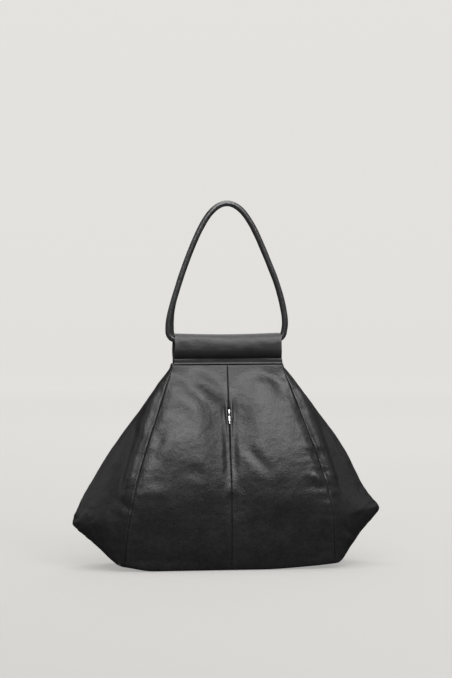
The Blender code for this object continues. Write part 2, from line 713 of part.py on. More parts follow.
def pull_outline():
    """The pull's right half, as (across, up) from its pin, from the top down to the bead's foot."""
    tongue, neck = PULL_TONGUE_WIDTH / 2, PULL_NECK_WIDTH / 2
    foot = -PULL_SHOULDER_DROP - PULL_LENGTH
    half = CROWN_WIDTH / 2
    points = [(tongue, PULL_EYE_RADIUS), (tongue, -PULL_SHOULDER_DROP), (half, -PULL_SHOULDER_DROP)]
    points += [(half, foot), (neck, foot), (neck, foot - PULL_NECK_LENGTH)]
    start = math.asin(neck / PULL_BEAD_RADIUS)
    centre = foot - PULL_NECK_LENGTH - PULL_BEAD_RADIUS * math.cos(start)
    steps = 5
    for k in range(1, steps + 1):
        angle = mix(start, math.pi, k / steps)
        across = PULL_BEAD_RADIUS * math.sin(angle)
        points.append((across if k < steps else 0, centre + PULL_BEAD_RADIUS * math.cos(angle)))
    return points


def make_pull(frame, place):
    hinge = empty("zip_pull_hinge", place)
    hinge.parent = frame
    right = pull_outline()
    outline = right + [(-x, z) for x, z in reversed(right[:-1])]
    shape = bmesh.new()
    corners = [shape.verts.new((x, -PULL_THICKNESS / 2, z)) for x, z in reversed(outline)]
    face = shape.faces.new(corners)
    grown = bmesh.ops.extrude_face_region(shape, geom=[face], use_keep_orig=True)
    moved = [item for item in grown["geom"] if isinstance(item, bmesh.types.BMVert)]
    bmesh.ops.translate(shape, vec=(0, PULL_THICKNESS, 0), verts=moved)
    bmesh.ops.recalc_face_normals(shape, faces=shape.faces)
    pull = add("zip_pull", mesh_from("zip_pull", shape), SILVER, parent=hinge)
    eye = rod("pull_eye", PULL_EYE_RADIUS, PULL_TONGUE_WIDTH / 2, (0, 0, 0), CUTTERS, hinge)
    hole = rod("pull_eye_hole", PULL_EYE_HOLE_RADIUS, PULL_TONGUE_WIDTH, (0, 0, 0), CUTTERS, hinge)
    modifier(pull, "BOOLEAN", operation="UNION", object=eye, solver="EXACT")
    modifier(pull, "BOOLEAN", operation="DIFFERENCE", object=hole, solver="EXACT")


def comb_outline(left):
    """One row of teeth on its edge cord, as (across, up). The left row's teeth lie half a pitch above."""
    head = TEETH_HEAD - CLEARANCE - POST_LENGTH - 2 * CLEARANCE
    first = head - (0 if left else TOOTH_PITCH / 2)
    count = int((first - TOOTH_HEIGHT - TEETH_FOOT) / TOOTH_PITCH)
    root, cord = TOOTH_ROOT, TOOTH_ROOT + CORD_WIDTH
    points = [(cord, TEETH_HEAD), (root, TEETH_HEAD)]
    for k in range(count + 1):
        top = first - k * TOOTH_PITCH
        points += [(root, top), (-TOOTH_REACH, top), (-TOOTH_REACH, top - TOOTH_HEIGHT), (root, top - TOOTH_HEIGHT)]
    points += [(root, TEETH_FOOT), (cord, TEETH_FOOT)]
    return [(-x, z) for x, z in points] if left else points


def flat_piece(name, outline, thickness, depth, finish, parent):
    """A flat outline in the zip's plane, with its middle at a depth."""
    sheet = bpy.data.curves.new(name, "CURVE")
    sheet.dimensions = "2D"
    sheet.fill_mode = "BOTH"
    sheet.extrude = thickness / 2
    spline = sheet.splines.new("POLY")
    spline.points.add(len(outline) - 1)
    spline.use_cyclic_u = True
    for point, (across, up) in zip(spline.points, outline):
        point.co = (across, up, 0, 1)
    made = add(name, sheet, finish, parent=parent)
    made.rotation_euler.x = math.radians(90)
    made.location.y = depth
    return made


def make_tape(side, sign, frame):
    """A zip tape: flat against the leather's back, then stepped in to the teeth's cord."""
    inner = TOOTH_ROOT + CORD_WIDTH + CLEARANCE
    step = SLIDER_WIDTH / 2 + 2 * TAPE_CLOTH
    flat = PLATE_DEPTH + TAPE_CLOTH / 2
    profile = (
        (inner, TOOTH_MIDDLE),
        (inner + TAPE_CLOTH, TOOTH_MIDDLE),
        (step + TAPE_CLOTH / 2, flat),
        (inner + TAPE_WIDTH, flat),
    )
    shape = bmesh.new()
    rows = [
        [shape.verts.new((sign * across, depth, up)) for across, depth in profile]
        for up in (TAPE_FOOT, TAPE_HEAD)
    ]
    for k in range(len(profile) - 1):
        shape.faces.new((rows[0][k], rows[0][k + 1], rows[1][k + 1], rows[1][k]))
    tape = add(f"zip_{side}_tape", mesh_from(f"zip_{side}_tape", shape), CLOTH, parent=frame)
    modifier(tape, "SOLIDIFY", thickness=TAPE_CLOTH, offset=0, use_even_offset=True)


def make_zip():
    place = (0, -wall_depth(SLIDER_HEIGHT), SLIDER_HEIGHT)
    frame = empty("zip_line", place, -WALL_TILT)
    pin = make_slider(frame)
    make_pull(frame, pin)
    near = TOOTH_MIDDLE - STOP_THICKNESS / 2
    far = TOOTH_MIDDLE + STOP_THICKNESS / 2
    for side, sign in (("left", -1), ("right", 1)):
        flat_piece(
            f"zip_{side}_teeth",
            comb_outline(side == "left"),
            TOOTH_THICKNESS,
            TOOTH_MIDDLE,
            ZIP_RESIN,
            frame,
        )
        make_tape(side, sign, frame)
        across = sorted((sign * (TOOTH_ROOT + CORD_WIDTH - STOP_WIDTH), sign * (TOOTH_ROOT + CORD_WIDTH)))
        foot = TEETH_HEAD + CLEARANCE
        stop = block(
            f"zip_{side}_top_stop",
            (across[0], near, foot),
            (across[1], far, foot + STOP_LENGTH),
            ZIP_RESIN,
            parent=frame,
        )
        rounded(stop, CLEARANCE, 1)
    half = TOOTH_ROOT + CORD_WIDTH
    head = TEETH_FOOT - CLEARANCE
    stop = block(
        "zip_bottom_stop", (-half, near, head - STOP_LENGTH), (half, far, head), ZIP_RESIN, parent=frame
    )
    rounded(stop, CLEARANCE, 1)


def panel_face(across, height):
    """A point of the front as its flat facets have it, which lie just inside the curved surface."""
    rows = row_heights()
    low, high = next(pair for pair in zip(rows, rows[1:]) if height <= pair[1])
    backs = []
    for row in (low, high):
        points = [front_surface(seam_half_span(row) * share, row) for share in FRONT_SHARES]
        near, far = next(pair for pair in zip(points, points[1:]) if abs(across) <= pair[1].x)
        backs.append(mix(near.y, far.y, (abs(across) - near.x) / (far.x - near.x)))
    return Vector((across, mix(*backs, (height - low) / (high - low)), height))


def make_pocket():
    """Two cloths that follow the front's inside. The front one is open along the zip."""
    slot = POCKET_SLOT_WIDTH / POCKET_WIDTH
    columns = sorted({*POCKET_COLUMN_SHARES, -slot, slot})
    between = [height for height in row_heights() if POCKET_FOOT_HEIGHT < height < POCKET_HEAD_HEIGHT]
    rows = [POCKET_FOOT_HEIGHT, *between, POCKET_HEAD_HEIGHT]
    cloths = (("pocket_front_cloth", POCKET_FRONT_DEPTH, True), ("pocket_back_cloth", POCKET_BACK_DEPTH, False))
    for name, depth, slotted in cloths:
        shape = bmesh.new()
        grid = [
            [shape.verts.new(panel_face(POCKET_WIDTH / 2 * share, height)) for share in columns]
            for height in rows
        ]
        for r in range(len(rows) - 1):
            beside_zip = rows[r] > SLIT_FOOT_HEIGHT - CLEARANCE and rows[r + 1] < SLIT_HEAD_HEIGHT + CLEARANCE
            for c in range(len(columns) - 1):
                if slotted and beside_zip and columns[c] == -slot:
                    continue
                shape.faces.new((grid[r][c], grid[r][c + 1], grid[r + 1][c + 1], grid[r + 1][c]))
        shape.normal_update()
        inward = {vert: vert.normal * -vert.calc_shell_factor() for vert in shape.verts}
        for vert, way in inward.items():
            vert.co += way * depth
        cloth = add(name, mesh_from(name, shape), CLOTH)
        modifier(cloth, "SOLIDIFY", thickness=POCKET_CLOTH, offset=-1, use_even_offset=True)


make_body()
make_base_board()
FRONT_HINGE = make_cuff("front", 1)
BACK_HINGE = make_cuff("back", -1)
make_snap(FRONT_HINGE, BACK_HINGE)
make_handle("front", 1)
make_handle("back", -1)
make_zip()
make_pocket()
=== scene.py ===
"""The looks of a black leather tote bag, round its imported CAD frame. Metres, +Z up, the front towards -Y."""

import math

import bmesh
import bpy
import numpy as np
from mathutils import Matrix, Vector, kdtree, noise


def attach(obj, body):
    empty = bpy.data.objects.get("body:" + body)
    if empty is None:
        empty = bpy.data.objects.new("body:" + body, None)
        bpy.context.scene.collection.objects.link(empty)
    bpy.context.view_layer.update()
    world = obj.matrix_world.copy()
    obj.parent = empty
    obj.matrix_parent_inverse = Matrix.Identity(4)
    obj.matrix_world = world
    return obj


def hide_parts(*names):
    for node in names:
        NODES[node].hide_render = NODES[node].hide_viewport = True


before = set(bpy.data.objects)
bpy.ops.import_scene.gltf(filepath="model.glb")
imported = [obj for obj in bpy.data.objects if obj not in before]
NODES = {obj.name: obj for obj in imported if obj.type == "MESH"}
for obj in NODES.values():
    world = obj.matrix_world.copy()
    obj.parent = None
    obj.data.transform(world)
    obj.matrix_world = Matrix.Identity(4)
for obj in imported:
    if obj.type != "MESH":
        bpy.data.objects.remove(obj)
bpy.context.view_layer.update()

# The body, close to the part's source. Knots are (height, value, slope).
LEATHER = 0.0015
FOOT_X = 0.184
BASE_DEPTH = 0.124
TIP_X = 0.2505
TIP_Z = 0.086
MOUTH_Z = 0.336
FRONT_CROWN = 0.010
SIDE_CROWN = 0.007
WALL_KNOTS = (0, 0.062, 0.35), (0.130, 0.06815, -0.292), (MOUTH_Z, 0.008, -0.292)
LEFT_SEAM = (0, 0.1765, -0.08), (0.060, 0.1725, -0.12), (0.110, 0.1620, -0.26), (MOUTH_Z, 0.0905, -0.28)
RIGHT_SEAM = (0, 0.1725, -0.02), (0.074, 0.1695, -0.10), (0.110, 0.1635, -0.29), (MOUTH_Z, 0.0915, -0.29)
# The two side ridges hang a little differently, as a soft bag's do
LEFT_RIDGE = (TIP_Z, 0.2630, -0.46), (0.150, 0.2228, -0.66), (0.230, 0.1665, -0.73), (0.321, 0.1005, -0.78)
RIGHT_RIDGE = (
    (TIP_Z, 0.2640, -0.78),
    (0.112, 0.2395, -0.68),
    (0.140, 0.2247, -0.42),
    (0.230, 0.1727, -0.70),
    (0.321, 0.1035, -0.78),
)
NECK = (MOUTH_Z, 0.091, -0.25)
# How far the walls stand out halfway up, and are drawn in lower down
BELLY = (
    (0, 0, 0),
    (0.030, -0.0020, -0.09),
    (0.055, -0.0040, -0.04),
    (0.080, -0.0034, 0.09),
    (0.130, 0.0056, 0.220),
    (0.185, 0.0125, 0.045),
    (0.255, 0.0102, -0.085),
    (MOUTH_Z, 0, -0.12),
)
# The same beside the zip, which is stiff
MIDDLE = (
    (0, 0, 0),
    (0.030, -0.0018, -0.07),
    (0.075, -0.0052, -0.01),
    (0.112, -0.0048, 0.15),
    (0.150, 0.0006, 0.13),
    (0.195, 0.0028, -0.01),
    (0.240, 0.0002, -0.02),
    (MOUTH_Z, 0, 0),
)
LEFT_TIP_DROP = 0.0095
RIGHT_TIP_RISE = 0.0080
END_SAG = 0.0088
SLIT_FOOT_Z = 0.1437
SLIT_HEAD_Z = 0.2647
SLIT_HALF_WIDTH = 0.0009

# How finely the body is woven: columns in half the front, in a side panel and in a base end
FRONT_COLUMNS = 96
SIDE_COLUMNS = 56
END_COLUMNS = 36
ROWS = ((0, 0.02, 13), (0.02, TIP_Z, 44), (TIP_Z, 0.318, 150), (0.318, MOUTH_Z, 18))
RING = (
    ("front_right_panel", FRONT_COLUMNS),
    ("front_right_side_panel", SIDE_COLUMNS),
    ("base_right_end", END_COLUMNS),
    ("back_right_side_panel", SIDE_COLUMNS),
    ("back_panel", 2 * FRONT_COLUMNS),
    ("back_left_side_panel", SIDE_COLUMNS),
    ("base_left_end", END_COLUMNS),
    ("front_left_side_panel", SIDE_COLUMNS),
    ("front_left_panel", FRONT_COLUMNS),
)
PANELS = (*dict(RING), "base_panel")
HANDS = "left", "right"

# Cuffs and handles
CUFF_LENGTH = 0.1774
CUFF_TOP_Z = 0.384
BAND_TOP_Z = 0.3452
BAND_OUT = 0.0086
MOUTH_GAP = 0.003
CHANNEL_OUT = 0.0109
CHANNEL_Z = 0.3761
FOLD_RADIUS = 0.0079
HANDLE_RADIUS = 0.005
HANDLE_RISE = 0.2234
CORE_RADIUS = 0.0028


# Shader writing


class Wire:
    """What a shader node gives out. Each sum on it adds a Math node."""

    def __init__(self, finish, socket):
        self.finish = finish
        self.socket = socket

    def sum(self, operation, other):
        return self.finish.node("ShaderNodeMath", {"operation": operation}, {0: self, 1: other})

    def __add__(self, other):
        return self.sum("ADD", other)

    def __sub__(self, other):
        return self.sum("SUBTRACT", other)

    def __mul__(self, other):
        return self.sum("MULTIPLY", other)


class Finish:
    """A material and its nodes."""

    def __init__(self, name, metallic=0.0, specular=0.5):
        self.material = bpy.data.materials.new(name)
        self.material.use_nodes = True
        self.tree = self.material.node_tree
        self.shader = self.tree.nodes["Principled BSDF"]
        self.shader.inputs["Metallic"].default_value = metallic
        self.shader.inputs["Specular IOR Level"].default_value = specular

    def node(self, kind, settings=None, inputs=None, output=0):
        made = self.tree.nodes.new(kind)
        for key, value in (settings or {}).items():
            if key == "stops":
                ramp = made.color_ramp.elements
                for element, (place, shade) in zip(ramp, value):
                    element.position = place
                    element.color = (shade, shade, shade, 1)
            else:
                setattr(made, key, value)
        for key, value in (inputs or {}).items():
            if isinstance(value, Wire):
                self.tree.links.new(value.socket, made.inputs[key])
            else:
                made.inputs[key].default_value = value
        return Wire(self, made.outputs[output])

    def place(self):
        return self.node("ShaderNodeTexCoord", output="Object")

    def noise(self, place, scale, detail=2.0):
        return self.node(
            "ShaderNodeTexNoise", None, {"Vector": place, "Scale": scale, "Detail": detail}, "Fac"
        )

    def wave(self, place, scale, bands="DIAGONAL", stray=0.0):
        inputs = {"Vector": place, "Scale": scale, "Distortion": stray}
        return self.node("ShaderNodeTexWave", {"bands_direction": bands}, inputs, "Fac")

    def attribute(self, name):
        return self.node("ShaderNodeAttribute", {"attribute_name": name}, output="Fac")

    def between(self, share, dark, light):
        """A colour between two, by a share."""
        return self.node(
            "ShaderNodeMix",
            {"data_type": "RGBA", "clamp_factor": True},
            {"Factor": share, "A": (*dark, 1), "B": (*light, 1)},
            "Result",
        )

    def bump(self, height, distance, strength=1.0):
        return self.node(
            "ShaderNodeBump", None, {"Height": height, "Distance": distance, "Strength": strength}, "Normal"
        )

    def feed(self, **wires):
        for name, wire in wires.items():
            socket = self.shader.inputs[name.replace("_", " ")]
            if isinstance(wire, Wire):
                self.tree.links.new(wire.socket, socket)
            else:
                socket.default_value = wire
        return self.material


PEBBLE_STRAY = 0.0011
GRAIN_DEPTH = 0.001


def leather(name, shade, light_shade, roughness, grain=1.0, specular=0.42):
    """Fine pebbled leather: small cells, soft mottling, and a slight polish where its edges are worn."""
    finish = Finish(name, specular=specular)
    place = finish.place()
    stray = finish.node("ShaderNodeTexNoise", None, {"Vector": place, "Scale": 420, "Detail": 2}, "Color")
    bent = finish.node(
        "ShaderNodeVectorMath", {"operation": "MULTIPLY_ADD"}, {0: stray, 1: (PEBBLE_STRAY,) * 3, 2: place}
    )
    cells = finish.node(
        "ShaderNodeTexVoronoi",
        {"feature": "DISTANCE_TO_EDGE"},
        {"Vector": bent, "Scale": 760},
        "Distance",
    )
    pebble = finish.node("ShaderNodeValToRGB", {"stops": ((0.0, 0), (0.16, 1))}, {"Fac": cells})
    fine = finish.noise(place, 330, 3)
    mottle = finish.noise(place, 140, 3)
    cloud = finish.noise(place, 38, 3)
    wear = finish.attribute("wear")
    height = pebble * (0.030 * grain) + fine * 0.30 + mottle * 0.28 + cloud * 0.30
    color = finish.between(mottle * 0.5 + cloud * 0.5 + wear * 0.5 - 0.35, shade, light_shade)
    rough = mottle * 0.10 + cloud * 0.14 + (roughness - 0.12) - wear * 0.08 - pebble * 0.04
    return finish.feed(Base_Color=color, Roughness=rough, Normal=finish.bump(height, GRAIN_DEPTH))


def cloth(name, shade, light_shade):
    """Twill: threads that cross at a small scale."""
    finish = Finish(name, specular=0.25)
    place = finish.place()
    warp = finish.wave(place, 420, stray=0.4)
    weft = finish.wave(place, 300, "Z")
    cross = warp * weft
    fibre = finish.noise(place, 900, 2)
    color = finish.between(cross * 0.7 + fibre * 0.3, shade, light_shade)
    return finish.feed(
        Base_Color=color, Roughness=fibre * 0.1 + 0.82, Normal=finish.bump(cross, 0.0002, 0.7)
    )


def silver(name):
    """Polished metal with faint brushing and small dulled spots, and painted shade: near black where its
    points are marked.
    """
    finish = Finish(name, metallic=1.0)
    place = finish.place()
    brushed = finish.noise(
        finish.node("ShaderNodeMapping", None, {"Vector": place, "Scale": (3000, 3000, 250)}), 1.0, 3
    )
    dull = finish.noise(place, 500, 2)
    painted_shade = finish.attribute("wear")
    # Painted shade: marked points in the zip's hollows and narrow necks are coloured near black, where shade
    # falls.
    color = finish.between(dull * 0.3 + painted_shade, (0.74, 0.74, 0.73), (0.012, 0.012, 0.012))
    return finish.feed(
        Base_Color=color,
        Roughness=brushed * 0.12 + dull * 0.1 + painted_shade * 0.3 + 0.22,
        Normal=finish.bump(brushed, 0.00002, 0.5),
    )


def plain(name, shade, light_shade, roughness, scale, metallic=0.0, depth=0.0002):
    """An inner piece's finish: board, magnet, cord or resin."""
    finish = Finish(name, metallic=metallic)
    place = finish.place()
    fleck = finish.noise(place, scale, 4)
    return finish.feed(
        Base_Color=finish.between(fleck, shade, light_shade),
        Roughness=fleck * 0.15 + (roughness - 0.08),
        Normal=finish.bump(fleck, depth, 0.6),
    )


def thread(name, shade, light_shade):
    """Waxed thread, with its twist."""
    finish = Finish(name, specular=0.35)
    ply = finish.wave(finish.place(), 900)
    return finish.feed(
        Base_Color=finish.between(ply, shade, light_shade),
        Roughness=ply * 0.1 + 0.5,
        Normal=finish.bump(ply, 0.0001),
    )


BODY_LEATHER = leather("body_leather", (0.0065, 0.0065, 0.0068), (0.016, 0.016, 0.0163), 0.43, specular=0.41)
# The cuff's leather is a lighter copy of the body's: painted fill light, standing in for the floor's bounce on
# the cuff's shaded fall.
CUFF_LEATHER_PAINTED_FILL = leather("cuff_leather", (0.0105, 0.0105, 0.0108), (0.021, 0.021, 0.0213), 0.46)
HANDLE_LEATHER = leather("handle_leather", (0.009, 0.009, 0.0095), (0.020, 0.020, 0.0205), 0.42, 0.8, 0.75)
LINING_CLOTH = cloth("lining_cloth", (0.008, 0.008, 0.009), (0.03, 0.03, 0.032))
TAPE_CLOTH = cloth("tape_cloth", (0.006, 0.006, 0.006), (0.02, 0.02, 0.02))
SILVER = silver("zip_silver")
RESIN = plain("zip_resin", (0.010, 0.010, 0.010), (0.03, 0.03, 0.03), 0.45, 700)
BOARD = plain("board", (0.020, 0.019, 0.018), (0.055, 0.052, 0.048), 0.85, 600)
MAGNET = plain("magnet_plate", (0.30, 0.30, 0.31), (0.50, 0.50, 0.51), 0.35, 900, 1.0, 0.00005)
CORD = plain("handle_cord", (0.30, 0.28, 0.24), (0.55, 0.52, 0.46), 0.9, 1500)
THREAD = thread("black_thread", (0.012, 0.012, 0.012), (0.05, 0.05, 0.05))

# Nodes that keep the CAD's own shape
PLAIN_NODES = (
    (RESIN, "zip_left_teeth", "zip_right_teeth"),
    (RESIN, "zip_left_top_stop", "zip_right_top_stop", "zip_bottom_stop"),
    (BOARD, "front_cuff_stiffener", "back_cuff_stiffener"),
    (MAGNET, "front_snap_socket", "back_snap_stud"),
    (HANDLE_LEATHER, "front_handle_splice", "back_handle_splice"),
)


def dress(piece, finish):
    """One finish in every slot of a piece."""
    if not piece.material_slots:
        piece.data.materials.append(finish)
    for each in piece.material_slots:
        each.material = finish


# Work at the bench


def only(piece):
    """The piece, alone selected and active."""
    bpy.ops.object.select_all(action="DESELECT")
    piece.select_set(True)
    bpy.context.view_layer.objects.active = piece
    return piece


def edit(piece, *deeds):
    """Does edit-mode deeds on the whole of a piece."""
    only(piece)
    bpy.ops.object.mode_set(mode="EDIT")
    bpy.ops.mesh.select_all(action="SELECT")
    for deed in deeds:
        deed()
    bpy.ops.object.mode_set(mode="OBJECT")
    return piece


def closed(tube, weld):
    """Welds a rolled-up sheet's two edges, caps its ends and turns its faces outward."""
    return edit(
        tube,
        lambda: bpy.ops.mesh.remove_doubles(threshold=weld),
        lambda: bpy.ops.mesh.fill_holes(sides=0),
        lambda: bpy.ops.mesh.normals_make_consistent(inside=False),
    )


def modify(piece, kind, **settings):
    """Adds a modifier and applies it."""
    only(piece)
    made = piece.modifiers.new(kind.title(), kind)
    for key, value in settings.items():
        setattr(made, key, value)
    bpy.ops.object.modifier_apply(modifier=made.name)
    return piece


def smooth(piece, degrees):
    only(piece)
    bpy.ops.object.shade_smooth_by_angle(angle=math.radians(degrees))


def sheet(name, columns, rows, place):
    """A grid laid where place(u, v) puts it. place takes and gives arrays."""
    bpy.ops.object.select_all(action="DESELECT")
    bpy.ops.mesh.primitive_grid_add(x_subdivisions=columns, y_subdivisions=rows, size=1)
    made = bpy.context.object
    made.name = made.data.name = name
    flat = positions(made)
    lay(made, place(flat[:, 0] + 0.5, flat[:, 1] + 0.5))
    return made


def from_faces(name, points, faces):
    """A piece made of points and faces."""
    mesh = bpy.data.meshes.new(name)
    mesh.from_pydata(points.tolist(), [], faces)
    made = bpy.data.objects.new(name, mesh)
    bpy.context.scene.collection.objects.link(made)
    return made


def positions(piece):
    found = np.empty(len(piece.data.vertices) * 3)
    piece.data.vertices.foreach_get("co", found)
    return found.reshape(-1, 3)


def lay(piece, points):
    piece.data.vertices.foreach_set("co", np.asarray(points, float).ravel())
    piece.data.update()


def mark_wear_and_painted_shade(piece, values):
    """How worn each point is, from 0 to 1; on the zip's silver, how much painted shade darkens it."""
    layer = piece.data.attributes.new("wear", "FLOAT", "POINT")
    layer.data.foreach_set("value", np.clip(values, 0, 1).astype(np.float32))


def hand_in(piece, finish, body, slot, *nodes, degrees=50):
    """Smooths and dresses a piece in a finish; it rides on a body and stands for nodes. Its slot is not used.
    """
    smooth(piece, degrees)
    dress(piece, finish)
    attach(piece, body)
    if nodes:
        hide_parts(*nodes)


# The body


def curve(knots, heights):
    """The values at heights on a smooth curve through its knots."""
    found = np.zeros_like(heights)
    for (low, start, rise), (high, end, fall) in zip(knots, knots[1:]):
        span = high - low
        t = np.clip((heights - low) / span, 0, 1)
        part = (1 + 2 * t) * (1 - t) ** 2 * start + t * (1 - t) ** 2 * span * rise
        part += t * t * (3 - 2 * t) * end + t * t * (t - 1) * span * fall
        found = np.where(heights >= low, part, found)
    return found


def hill(distance, width):
    return np.exp(-((distance / width) ** 2))


def step(value, low, high):
    """0 below low, 1 above high, and smooth between."""
    t = np.clip((value - low) / (high - low), 0, 1)
    return t * t * (3 - 2 * t)


def shares(count, start, end):
    """Places across a panel. They lie closer together at its two edges, by how much start and end say."""
    u = np.linspace(0, 1, 500)
    crowd = 1 + start * np.exp(-u / 0.07) + end * np.exp((u - 1) / 0.07)
    gone = np.append(0, np.cumsum(crowd[1:] + crowd[:-1]))
    return np.interp(np.linspace(0, 1, count + 1), gone / gone[-1], u)


FRONT_SHARES = shares(FRONT_COLUMNS, 2.5, 1.2)
SIDE_SHARES = shares(SIDE_COLUMNS, 1.2, 1.2)
END_SHARES = shares(END_COLUMNS, 1.5, 1.5)


def body_rings():
    """The body's surface in rows from the base up, each round the bag from the centre seam by the right."""
    parts = [np.linspace(low, high, count)[:-1] for low, high, count in ROWS]
    z = np.append(np.concatenate(parts), MOUTH_Z)[:, None]
    swell = np.sin(np.pi * z / MOUTH_Z)
    wall = curve(WALL_KNOTS, z)
    low = np.clip(z / TIP_Z, 0, 1)
    edge_y = -BASE_DEPTH / 2 * (1 - low)

    halves = []
    for ridge, knots, power in ((RIGHT_RIDGE, RIGHT_SEAM, 0), (LEFT_RIDGE, LEFT_SEAM, 1)):
        seam = curve(knots, z)
        foot_x = FOOT_X * (1 - low) + ridge[0][1] * low - END_SAG * low**power * np.sin(np.pi * low)
        edge_x = np.where(z < TIP_Z, foot_x, curve((*ridge, NECK), z))
        s = FRONT_SHARES[None]
        front = seam * s, FRONT_CROWN * swell * s**3 - wall
        s = SIDE_SHARES[None]
        start_x, start_y = seam, FRONT_CROWN * swell - wall
        way_x, way_y = edge_x - start_x, edge_y - start_y
        length = np.hypot(way_x, way_y)
        bulge = SIDE_CROWN * swell * np.sin(np.pi * s) / length
        side = start_x + way_x * s + way_y * bulge, start_y + way_y * s - way_x * bulge
        s = END_SHARES[None]
        end = edge_x + 0 * s, edge_y * (1 - 2 * s)
        across = [front[0], side[0][:, 1:], end[0][:, 1:], side[0][:, -2::-1], front[0][:, -2::-1]]
        depth = [front[1], side[1][:, 1:], end[1][:, 1:], -side[1][:, -2::-1], -front[1][:, -2::-1]]
        halves.append((np.hstack(across), np.hstack(depth)))
    (right_x, right_y), (left_x, left_y) = halves
    x = np.hstack([right_x, -left_x[:, -2:0:-1]])
    y = np.hstack([right_y, left_y[:, -2:0:-1]])
    return np.stack([x, y, z + 0 * x], axis=2)


def weave():
    """The whole body as one cloth: its points, its faces and each face's panel."""
    rings = body_rings()
    rows, columns = rings.shape[:2]
    half = FRONT_COLUMNS + SIDE_COLUMNS
    xs = np.append(rings[0, -half:, 0], rings[0, : half + 1, 0])
    ys = BASE_DEPTH * (END_SHARES - 0.5)
    base = np.stack([*np.meshgrid(xs, ys, indexing="ij"), np.zeros((len(xs), len(ys)))], axis=2)
    every = np.vstack([rings.reshape(-1, 3), base.reshape(-1, 3)])
    microns = np.round(every * 1e6).astype(np.int64)
    _, first, index = np.unique(microns, axis=0, return_index=True, return_inverse=True)
    index = index.ravel()
    points = every[first]
    ring = index[: rows * columns].reshape(rows, columns)
    after = np.roll(ring, -1, axis=1)
    quads = np.stack([ring[:-1], after[:-1], after[1:], ring[1:]], axis=2).reshape(-1, 4)
    names = [PANELS.index(name) for name, count in RING for _ in range(count)]
    panels = np.tile(names, rows - 1)
    floor = index[rows * columns :].reshape(len(xs), len(ys))
    floor = np.stack([floor[:-1, :-1], floor[:-1, 1:], floor[1:, 1:], floor[1:, :-1]], axis=2).reshape(-1, 4)
    quads = np.vstack([quads, floor])
    panels = np.append(panels, np.full(len(floor), PANELS.index("base_panel")))
    real = [len(set(quad)) > 2 for quad in quads.tolist()]
    return points, quads[real], panels[real]


RELAX_TURNS = 2
SOLVER_ROUNDS = 260
SOLVED = 1e-19
LEAST_SPAN = 1e-5
TINY = 1e-12


def crossed(points, quads):
    """The cross product of each face's two diagonals."""
    return np.cross(points[quads[:, 2]] - points[quads[:, 0]], points[quads[:, 3]] - points[quads[:, 1]])


def relaxed(points, quads, spread):
    """Points smoothed as heat spreads over the cloth, each over its own reach, whatever its faces' size."""
    area = np.linalg.norm(crossed(points, quads), axis=1) / 2
    pairs = np.vstack([quads[:, [k, (k + 1) % 4]] for k in range(4)])
    pairs, areas = np.sort(pairs, axis=1), np.tile(area, 4)
    real = pairs[:, 0] != pairs[:, 1]
    pairs, index = np.unique(pairs[real], axis=0, return_inverse=True)
    a, b = pairs.T
    span = np.maximum(np.linalg.norm(points[a] - points[b], axis=1), LEAST_SPAN)
    pull = np.bincount(index.ravel(), areas[real], len(pairs)) / (2 * span**2)
    pull *= (spread[a] ** 2 + spread[b] ** 2) / (4 * RELAX_TURNS)
    mass = sum(np.bincount(quads[:, k], area / 4, len(points)) for k in range(4)) + TINY
    stiff = mass + np.bincount(a, pull, len(points)) + np.bincount(b, pull, len(points))

    def spread_out(values):
        flow = pull * (values[a] - values[b])
        return mass * values + np.bincount(a, flow, len(points)) - np.bincount(b, flow, len(points))

    found = points.copy()
    for _ in range(RELAX_TURNS):
        for k in range(3):
            value = found[:, k].copy()
            left = mass * found[:, k] - spread_out(value)
            ready = left / stiff
            way, size = ready.copy(), left @ ready
            for _ in range(SOLVER_ROUNDS):
                pushed = spread_out(way)
                share = size / max(way @ pushed, 1e-30)
                value += share * way
                left -= share * pushed
                ready = left / stiff
                size, before = left @ ready, size
                if size < SOLVED:
                    break
                way = ready + size / before * way
            found[:, k] = value
    return found


def normals(points, quads):
    face = crossed(points, quads)
    found = np.zeros_like(points)
    for corner in range(4):
        for k in range(3):
            found[:, k] += np.bincount(quads[:, corner], face[:, k], len(points))
    return found / np.maximum(np.linalg.norm(found, axis=1), TINY)[:, None]


def reach(points, chosen):
    """How far each point is from the nearest chosen one."""
    tree = kdtree.KDTree(int(chosen.sum()))
    for k, point in enumerate(points[chosen]):
        tree.insert(point, k)
    tree.balance()
    return np.array([tree.find(point)[2] for point in points])


def waves(points, scale, seed):
    """Smooth noise from -1 to 1. scale is in waves a metre, or three of them."""
    places = points * np.asarray(scale) + seed * 17.3
    return np.array([noise.noise(place) for place in places]) * 2


def along_folds(points, folds):
    """Soft creases on the front: each is a line of (x, z) places, with its depth and its width."""
    found = np.zeros(len(points))
    flat = points[:, [0, 2]]
    for line, depth, width in folds:
        line = np.array(line)
        best = np.full(len(points), 1e9)
        share = np.zeros(len(points))
        for k, (start, end) in enumerate(zip(line, line[1:])):
            way = end - start
            t = np.clip((flat - start) @ way / (way @ way), 0, 1)
            distance = np.linalg.norm(flat - start - t[:, None] * way, axis=1)
            nearer = distance < best
            best = np.where(nearer, distance, best)
            share = np.where(nearer, (k + t) / (len(line) - 1), share)
        taper = np.sin(np.pi * np.clip(0.08 + 0.84 * share, 0, 1))
        found -= depth * taper * (hill(best, width) - 0.35 * hill(best - 1.7 * width, width))
    return found


